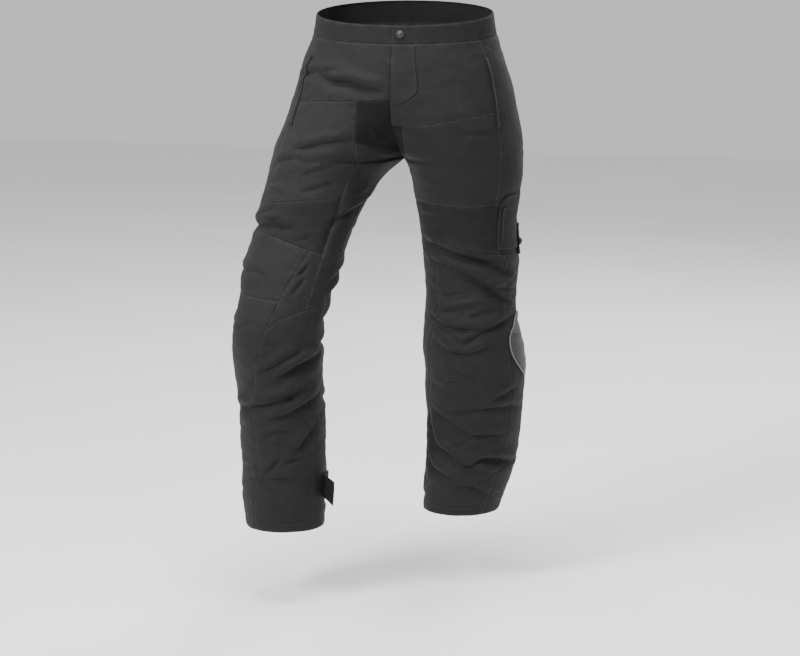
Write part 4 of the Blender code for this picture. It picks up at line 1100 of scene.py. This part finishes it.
# %% Hem straps and thigh tabs
THIGH_TAB = {"right": (0.550, 0.584, 0.392, 0.450, 0.0030),
             "left": (0.516, 0.550, 0.392, 0.450, 0.0030)}
STRAP_W, STRAP_D = (0.860, 0.975), (0.858, 0.902)
STRAP_FREE_FROM, STRAP_THICK = 0.925, 0.0025
STRAP_STAND = {"right": 0.040, "left": 0.012}


def hem_strap(side):
    w, d = patch((*STRAP_W, *STRAP_D), 40, 18)
    free = np.clip((w - STRAP_FREE_FROM) / (STRAP_W[1] - STRAP_FREE_FROM), 0, 1)
    laid(f"hem_strap_{side}", side, w, d, STRAP_THICK, "strap_cloth",
         lift=STRAP_STAND[side] * free ** 1.5)


for side in halves:
    hem_strap(side)
    w, d = patch(THIGH_TAB[side], 8, 16)
    laid(f"thigh_tab_{side}", side, w, d, THIGH_TAB[side][4], "strap_cloth")
print("straps:", cuts["hem_strap_right_cloth"], "tabs:", cuts["thigh_tab_left_cloth"])

# %% [markdown]
# ## Snaps
# A snap's cap is a small turned disc: a flange, a shallow groove and a low dome. It is drawn as a
# profile that goes once round, as on a lathe, and stood square to the cloth.

# %% Turn the snap caps: radius and height of the profile, as shares
SNAP_RADIUS, SNAP_HEIGHT = 0.0072, 0.0045
SNAP_PROFILE = [(0.90, 0.0), (1.0, 0.10), (1.0, 0.34), (0.94, 0.46), (0.80, 0.50), (0.74, 0.44),
                (0.66, 0.56), (0.52, 0.82), (0.30, 0.96), (0.12, 1.0)]
SNAP_SIDES = 32
SNAP_REACH = 0.004            # how far round the snap's place the cloth's direction is read
WAIST_SNAP, TAB_SNAP_DEPTH = (0.030, 0.020), 0.426


def snap(name, side, place, over):
    """A cap on the cloth at (w, d)."""
    near = np.array([-SNAP_REACH, 0.0, SNAP_REACH])
    points = worn(side, place[0] + near[None, :], place[1] + near[:, None])
    out = Vector(grid_normals(points, side)[1, 1])
    at = Vector(points[1, 1]) + out * (over + LAID_GAP)
    turn = out.to_track_quat("Z", "Y")
    angles = [2 * math.pi * k / SNAP_SIDES for k in range(SNAP_SIDES)]
    places = [at + turn @ Vector((SNAP_RADIUS * r * math.cos(a), SNAP_RADIUS * r * math.sin(a),
                                  SNAP_HEIGHT * h)) for r, h in SNAP_PROFILE for a in angles]
    faces = [tuple(reversed(range(SNAP_SIDES)))]
    for ring in range(len(SNAP_PROFILE) - 1):
        for k in range(SNAP_SIDES):
            low, high = ring * SNAP_SIDES, (ring + 1) * SNAP_SIDES
            after = (k + 1) % SNAP_SIDES
            faces.append((low + k, low + after, high + after, high + k))
    last = (len(SNAP_PROFILE) - 1) * SNAP_SIDES
    faces.append(tuple(range(last, last + SNAP_SIDES)))
    mesh = bpy.data.meshes.new(name + "_cap")
    mesh.from_pydata([tuple(p) for p in places], [], faces)
    mesh.shade_smooth()
    mesh.materials.append(SNAP)
    cap = bpy.data.objects.new(name + "_cap", mesh)
    bpy.context.scene.collection.objects.link(cap)
    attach(cap, "root")
    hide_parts(name)


snap("waist_snap", "left", WAIST_SNAP, 0.0)
for side, tab in THIGH_TAB.items():
    middle = (tab[0] + tab[1]) / 2, TAB_SNAP_DEPTH
    snap(f"thigh_tab_snap_{side}", side, middle, tab[4] + LAID_GAP)
print("snaps: 3")

# %% [markdown]
# ## Stitches and zip coils
# Rows of small parts that follow a path are what Geometry Nodes are made for. The rows are loose
# edges that carry the cloth's outward direction. The tree turns them into curves, sets points at
# an even pitch, puts one small bead on each and turns it along the row. The result is turned into
# a plain mesh, because an exported model has no instances.

# %% The tree that sets beads along rows
def bead_tree():
    tree = bpy.data.node_groups.new("beads along rows", "GeometryNodeTree")
    for name, kind in (("Geometry", "NodeSocketGeometry"), ("Pitch", "NodeSocketFloat"),
                       ("Size", "NodeSocketVector"), ("Lean", "NodeSocketFloat"),
                       ("Seed", "NodeSocketInt"), ("Finish", "NodeSocketMaterial")):
        tree.interface.new_socket(name=name, in_out="INPUT", socket_type=kind)
    tree.interface.new_socket(name="Geometry", in_out="OUTPUT", socket_type="NodeSocketGeometry")
    given = tree.nodes.new("NodeGroupInput")
    result = tree.nodes.new("NodeGroupOutput")
    curve = link_node(tree, "GeometryNodeMeshToCurve", Mesh=given.outputs["Geometry"])
    even = link_node(tree, "GeometryNodeResampleCurve", mode="LENGTH", Curve=curve.outputs[0],
                     Length=given.outputs["Pitch"])
    bead = link_node(tree, "GeometryNodeMeshIcoSphere", Radius=0.5, Subdivisions=1)
    tangent = link_node(tree, "GeometryNodeInputTangent").outputs[0]
    outward = link_node(tree, "GeometryNodeInputNamedAttribute", data_type="FLOAT_VECTOR",
                        Name="outward").outputs[0]
    along = link_node(tree, "FunctionNodeAlignRotationToVector", axis="X", Vector=tangent)
    square = link_node(tree, "FunctionNodeAlignRotationToVector", axis="Z", pivot_axis="X",
                       Rotation=along.outputs[0], Vector=outward)
    uneven = link_node(tree, "FunctionNodeRandomValue", data_type="FLOAT", Seed=given.outputs["Seed"])
    uneven.inputs[2].default_value, uneven.inputs[3].default_value = -1.0, 1.0
    lean = sums_geo(tree, uneven.outputs[1], given.outputs["Lean"])
    turned = link_node(tree, "FunctionNodeAxisAngleToRotation", Axis=(0.0, 0.0, 1.0), Angle=lean)
    both = tree.nodes.new("FunctionNodeRotateRotation")
    both.rotation_space = "LOCAL"
    tree.links.new(square.outputs[0], both.inputs[0])
    tree.links.new(turned.outputs[0], both.inputs[1])
    set_on = link_node(tree, "GeometryNodeInstanceOnPoints", Points=even.outputs[0],
                       Instance=bead.outputs[0], Rotation=both.outputs[0],
                       Scale=given.outputs["Size"])
    real = link_node(tree, "GeometryNodeRealizeInstances", Geometry=set_on.outputs[0])
    smooth = link_node(tree, "GeometryNodeSetShadeSmooth", Geometry=real.outputs[0])
    dressed = link_node(tree, "GeometryNodeSetMaterial", Geometry=smooth.outputs[0],
                        Material=given.outputs["Finish"])
    tree.links.new(dressed.outputs[0], result.inputs[0])
    return tree


def sums_geo(tree, first, second):
    """The product of two sockets."""
    made = tree.nodes.new("ShaderNodeMath")
    made.operation = "MULTIPLY"
    tree.links.new(first, made.inputs[0])
    tree.links.new(second, made.inputs[1])
    return made.outputs[0]


BEADS = bead_tree()
print("tree:", len(BEADS.nodes), "nodes")


# %% Turn rows into a plain mesh of beads
def set_beads(name, rows, pitch, size, lean, seed, finish):
    """rows is a list of (points, normals) along which the beads lie."""
    points = np.concatenate([row[0] for row in rows])
    outward = np.concatenate([row[1] for row in rows])
    edges, start = [], 0
    for row in rows:
        edges += [(k, k + 1) for k in range(start, start + len(row[0]) - 1)]
        start += len(row[0])
    mesh = bpy.data.meshes.new(name + "_rows")
    mesh.from_pydata(points.tolist(), edges, [])
    mark = mesh.attributes.new("outward", "FLOAT_VECTOR", "POINT")
    mark.data.foreach_set("vector", outward.astype(np.float32).ravel())
    carrier = bpy.data.objects.new(name + "_rows", mesh)
    bpy.context.scene.collection.objects.link(carrier)
    step = carrier.modifiers.new("beads", "NODES")
    step.node_group = BEADS
    socket = {item.name: item.identifier for item in BEADS.interface.items_tree
              if item.in_out == "INPUT"}
    for key, value in (("Pitch", pitch), ("Size", size), ("Lean", lean), ("Seed", seed),
                       ("Finish", finish)):
        step[socket[key]] = value
    ready = carrier.evaluated_get(bpy.context.evaluated_depsgraph_get())
    plain = bpy.data.meshes.new_from_object(ready)
    plain.name = name
    carrier.modifiers.remove(step)
    bpy.data.objects.remove(carrier)
    made = bpy.data.objects.new(name, plain)
    bpy.context.scene.collection.objects.link(made)
    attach(made, "root")
    return made


# %% [markdown]
# ## Where the seams are topstitched
# Not every seam is: the inseam and the side seams are plain or single, and the knee panel, the
# knee patch and the hip seam have a second row. A row runs a set distance inside a piece's edge,
# found by walking over the piece's own grid, so it follows the creases.

# %% Rows inside a piece's edge: piece, edge, distances in mm
STITCHED = [
    ("hip_front", "low", (2.2,)), ("hip_front", "top", (2.2,)), ("hip_front", "right", (2.2, 7.0)),
    ("crotch_gusset", "right", (2.0,)), ("thigh_front", "left", (2.2,)),
    ("thigh_front", "low", (2.2,)), ("thigh_front", "right", (2.2, 7.0)),
    ("inner_thigh", "right", (2.2,)), ("knee_panel", "top", (2.2, 8.0)),
    ("knee_panel", "left", (2.2, 8.0)), ("knee_panel", "low", (2.2, 8.0)),
    ("knee_panel", "right", (2.2,)), ("inner_knee_patch", "low", (2.2,)),
    ("inner_knee_patch", "left", (2.2,)), ("shin_panel", "left", (2.2,)),
    ("shin_panel", "right", (2.2,)), ("shin_panel", "low", (15.0,)), ("inner_calf", "low", (15.0,)),
    ("outer_calf", "low", (15.0,)), ("back_calf", "low", (15.0,)), ("outer_calf", "right", (2.2,)),
    ("outer_thigh", "right", (2.2,)), ("seat_and_back_thigh", "low", (2.2, 7.0)),
    ("seat_and_back_thigh", "right", (2.2, 7.0)), ("outer_thigh", "low", (2.2,)),
    ("waistband_front", "top", (2.5,)), ("waistband_front", "low", (2.0,)),
    ("leaf_panel", "left", (2.0,)), ("leaf_panel", "right", (2.0,)),
    ("hem_strap", "left", (3.0, 8.0)), ("thigh_tab", "top", (3.0,)), ("thigh_tab", "low", (3.0,)),
]
ONE_SIDED = [("waistband_back", "top", (2.5,)), ("waistband_back", "low", (2.0,)),
             ("fly_placket", "right", (3.0,)), ("thigh_pocket_left", "top", (2.0, 7.0)),
             ("thigh_pocket_left", "left", (2.0,)), ("thigh_pocket_left", "low", (2.0,)),
             ("thigh_pocket_left", "right", (2.0,))]
STITCH_PITCH = 0.0033
STITCH_SIZE = (0.0024, 0.00062, 0.00046)
THREAD_LIFT = 0.00012


def stitch_row(name, edge, inside):
    """Points at a distance inside one edge of a piece, walked along its own grid lines."""
    outer, normals = faces_of[name]
    left, right, top, low = distances(outer)
    way = {"left": left, "right": right, "top": top, "low": low}[edge]
    if edge in ("left", "right"):
        way, outer, normals = way.T, outer.swapaxes(0, 1), normals.swapaxes(0, 1)
    if edge in ("right", "low"):
        way, outer, normals = way[::-1], outer[::-1], normals[::-1]
    points, outward = [], []
    for column in range(way.shape[1]):
        if way[-1, column] < inside * 1.5:
            continue
        points.append([np.interp(inside, way[:, column], outer[:, column, k]) for k in range(3)])
        outward.append([np.interp(inside, way[:, column], normals[:, column, k]) for k in range(3)])
    outward = np.array(outward)
    return np.array(points)[1:-1] + outward[1:-1] * THREAD_LIFT, outward[1:-1]


for side in halves:
    rows = [stitch_row(f"{name}_{side}", edge, gap / 1000)
            for name, edge, gaps in STITCHED for gap in gaps]
    if side == "left":
        rows += [stitch_row(name, edge, gap / 1000) for name, edge, gaps in ONE_SIDED for gap in gaps]
    made = set_beads(f"stitches_{side}", rows, STITCH_PITCH, STITCH_SIZE, 0.10, 5, THREAD)
    print(made.name, len(rows), "rows,", len(made.data.polygons), "faces")

# %% Zip coils along the middle of each tape
COIL_PITCH = 0.0013
COIL_SIZE = (0.0011, 0.0052, 0.0014)


def middle_row(name, lift):
    outer, normals = faces_of[name]
    at = outer.shape[1] // 2
    return outer[2:-2, at] + normals[2:-2, at] * lift, normals[2:-2, at]


for side in halves:
    zips = ["hip_zip_right"] if side == "right" else ["hip_zip_left", "thigh_pocket_zip_left"]
    rows = [middle_row(name, 0.0003) for name in zips]
    made = set_beads(f"zip_coils_{side}", rows, COIL_PITCH, COIL_SIZE, 0.03, 9, COIL)
    print(made.name, len(made.data.polygons), "faces")

# %% [markdown]
# ## Floor, light and camera
# The studio is white all round, so the floor and the sky are pale and the lamps are large. A lamp
# from the front left draws the creases, a wide one above fills the tops of the folds, and a weak
# one from the right keeps the inner leg readable. The camera stands where the photograph's did.

# %% The floor
FLOOR_Z = -1.11
FLOOR_SIZE = 14.0


def pale_floor():
    mesh = bpy.data.meshes.new("floor")
    reach = FLOOR_SIZE / 2
    mesh.from_pydata([(-reach, -reach, FLOOR_Z), (reach, -reach, FLOOR_Z), (reach, reach, FLOOR_Z),
                      (-reach, reach, FLOOR_Z)], [], [(0, 1, 2, 3)])
    finish = plain_finish("studio_floor", (0.80, 0.80, 0.80), 0.75, 3.0, change=0.02)
    mesh.materials.append(finish)
    floor = bpy.data.objects.new("floor", mesh)
    bpy.context.scene.collection.objects.link(floor)


pale_floor()
world = bpy.data.worlds.new("studio")
world.use_nodes = True
world.node_tree.nodes["Background"].inputs["Color"].default_value = (0.93, 0.94, 0.95, 1.0)
world.node_tree.nodes["Background"].inputs["Strength"].default_value = 0.75
bpy.context.scene.world = world
print("floor at", FLOOR_Z)

# %% Lamps: name, place, what it looks at, size, power in watts
LAMPS = [
    ("key", (-1.8, -2.6, 1.9), (0.0, -0.1, -0.45), 1.1, 210.0),
    ("top", (0.1, -0.6, 2.6), (0.0, 0.0, -0.4), 1.6, 150.0),
    ("fill", (2.8, -2.2, 0.4), (0.0, 0.0, -0.5), 2.0, 25.0),
    ("back", (0.8, 2.8, 1.6), (0.0, 0.0, -0.4), 2.0, 90.0),
]
for name, place, target, size, power in LAMPS:
    light = bpy.data.lights.new(name, "AREA")
    light.shape, light.size, light.energy = "SQUARE", size, power
    lamp = bpy.data.objects.new(name, light)
    lamp.location = place
    lamp.rotation_euler = (Vector(target) - Vector(place)).to_track_quat("-Z", "Y").to_euler()
    bpy.context.scene.collection.objects.link(lamp)
print("lamps:", len(LAMPS))

# %% The camera
AZIMUTH, PITCH = math.radians(12.0), math.radians(11.1)
DISTANCE, CAMERA_UP = 4.5, 0.27
FOCUS_PIXELS, WIDTH_PIXELS, SENSOR = 2368.0, 800, 36.0
SIDEWAYS_PIXELS = 5.0         # how far right of the middle the trousers' centre line appears
across = Vector((math.cos(AZIMUTH), math.sin(AZIMUTH), 0.0))
level = Vector((-math.sin(AZIMUTH), math.cos(AZIMUTH), 0.0))
forward = level * math.cos(PITCH) - Vector((0.0, 0.0, math.sin(PITCH)))
level_distance = DISTANCE * math.cos(PITCH)
eye = -level * level_distance - across * (SIDEWAYS_PIXELS / FOCUS_PIXELS * level_distance)
eye.z = CAMERA_UP
camera = bpy.data.objects.new("camera", bpy.data.cameras.new("camera"))
camera.data.sensor_width = SENSOR
camera.data.lens = FOCUS_PIXELS / WIDTH_PIXELS * SENSOR
camera.location = eye
camera.rotation_euler = forward.to_track_quat("-Z", "Y").to_euler()
camera.data.clip_end = 50.0
bpy.context.scene.collection.objects.link(camera)
bpy.context.scene.camera = camera
print("camera at", [round(v, 3) for v in eye], "lens", round(camera.data.lens, 2))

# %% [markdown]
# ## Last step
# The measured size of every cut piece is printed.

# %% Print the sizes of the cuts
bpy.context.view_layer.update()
for name, cut in sorted(cuts.items()):
    print("cut", name, cut)
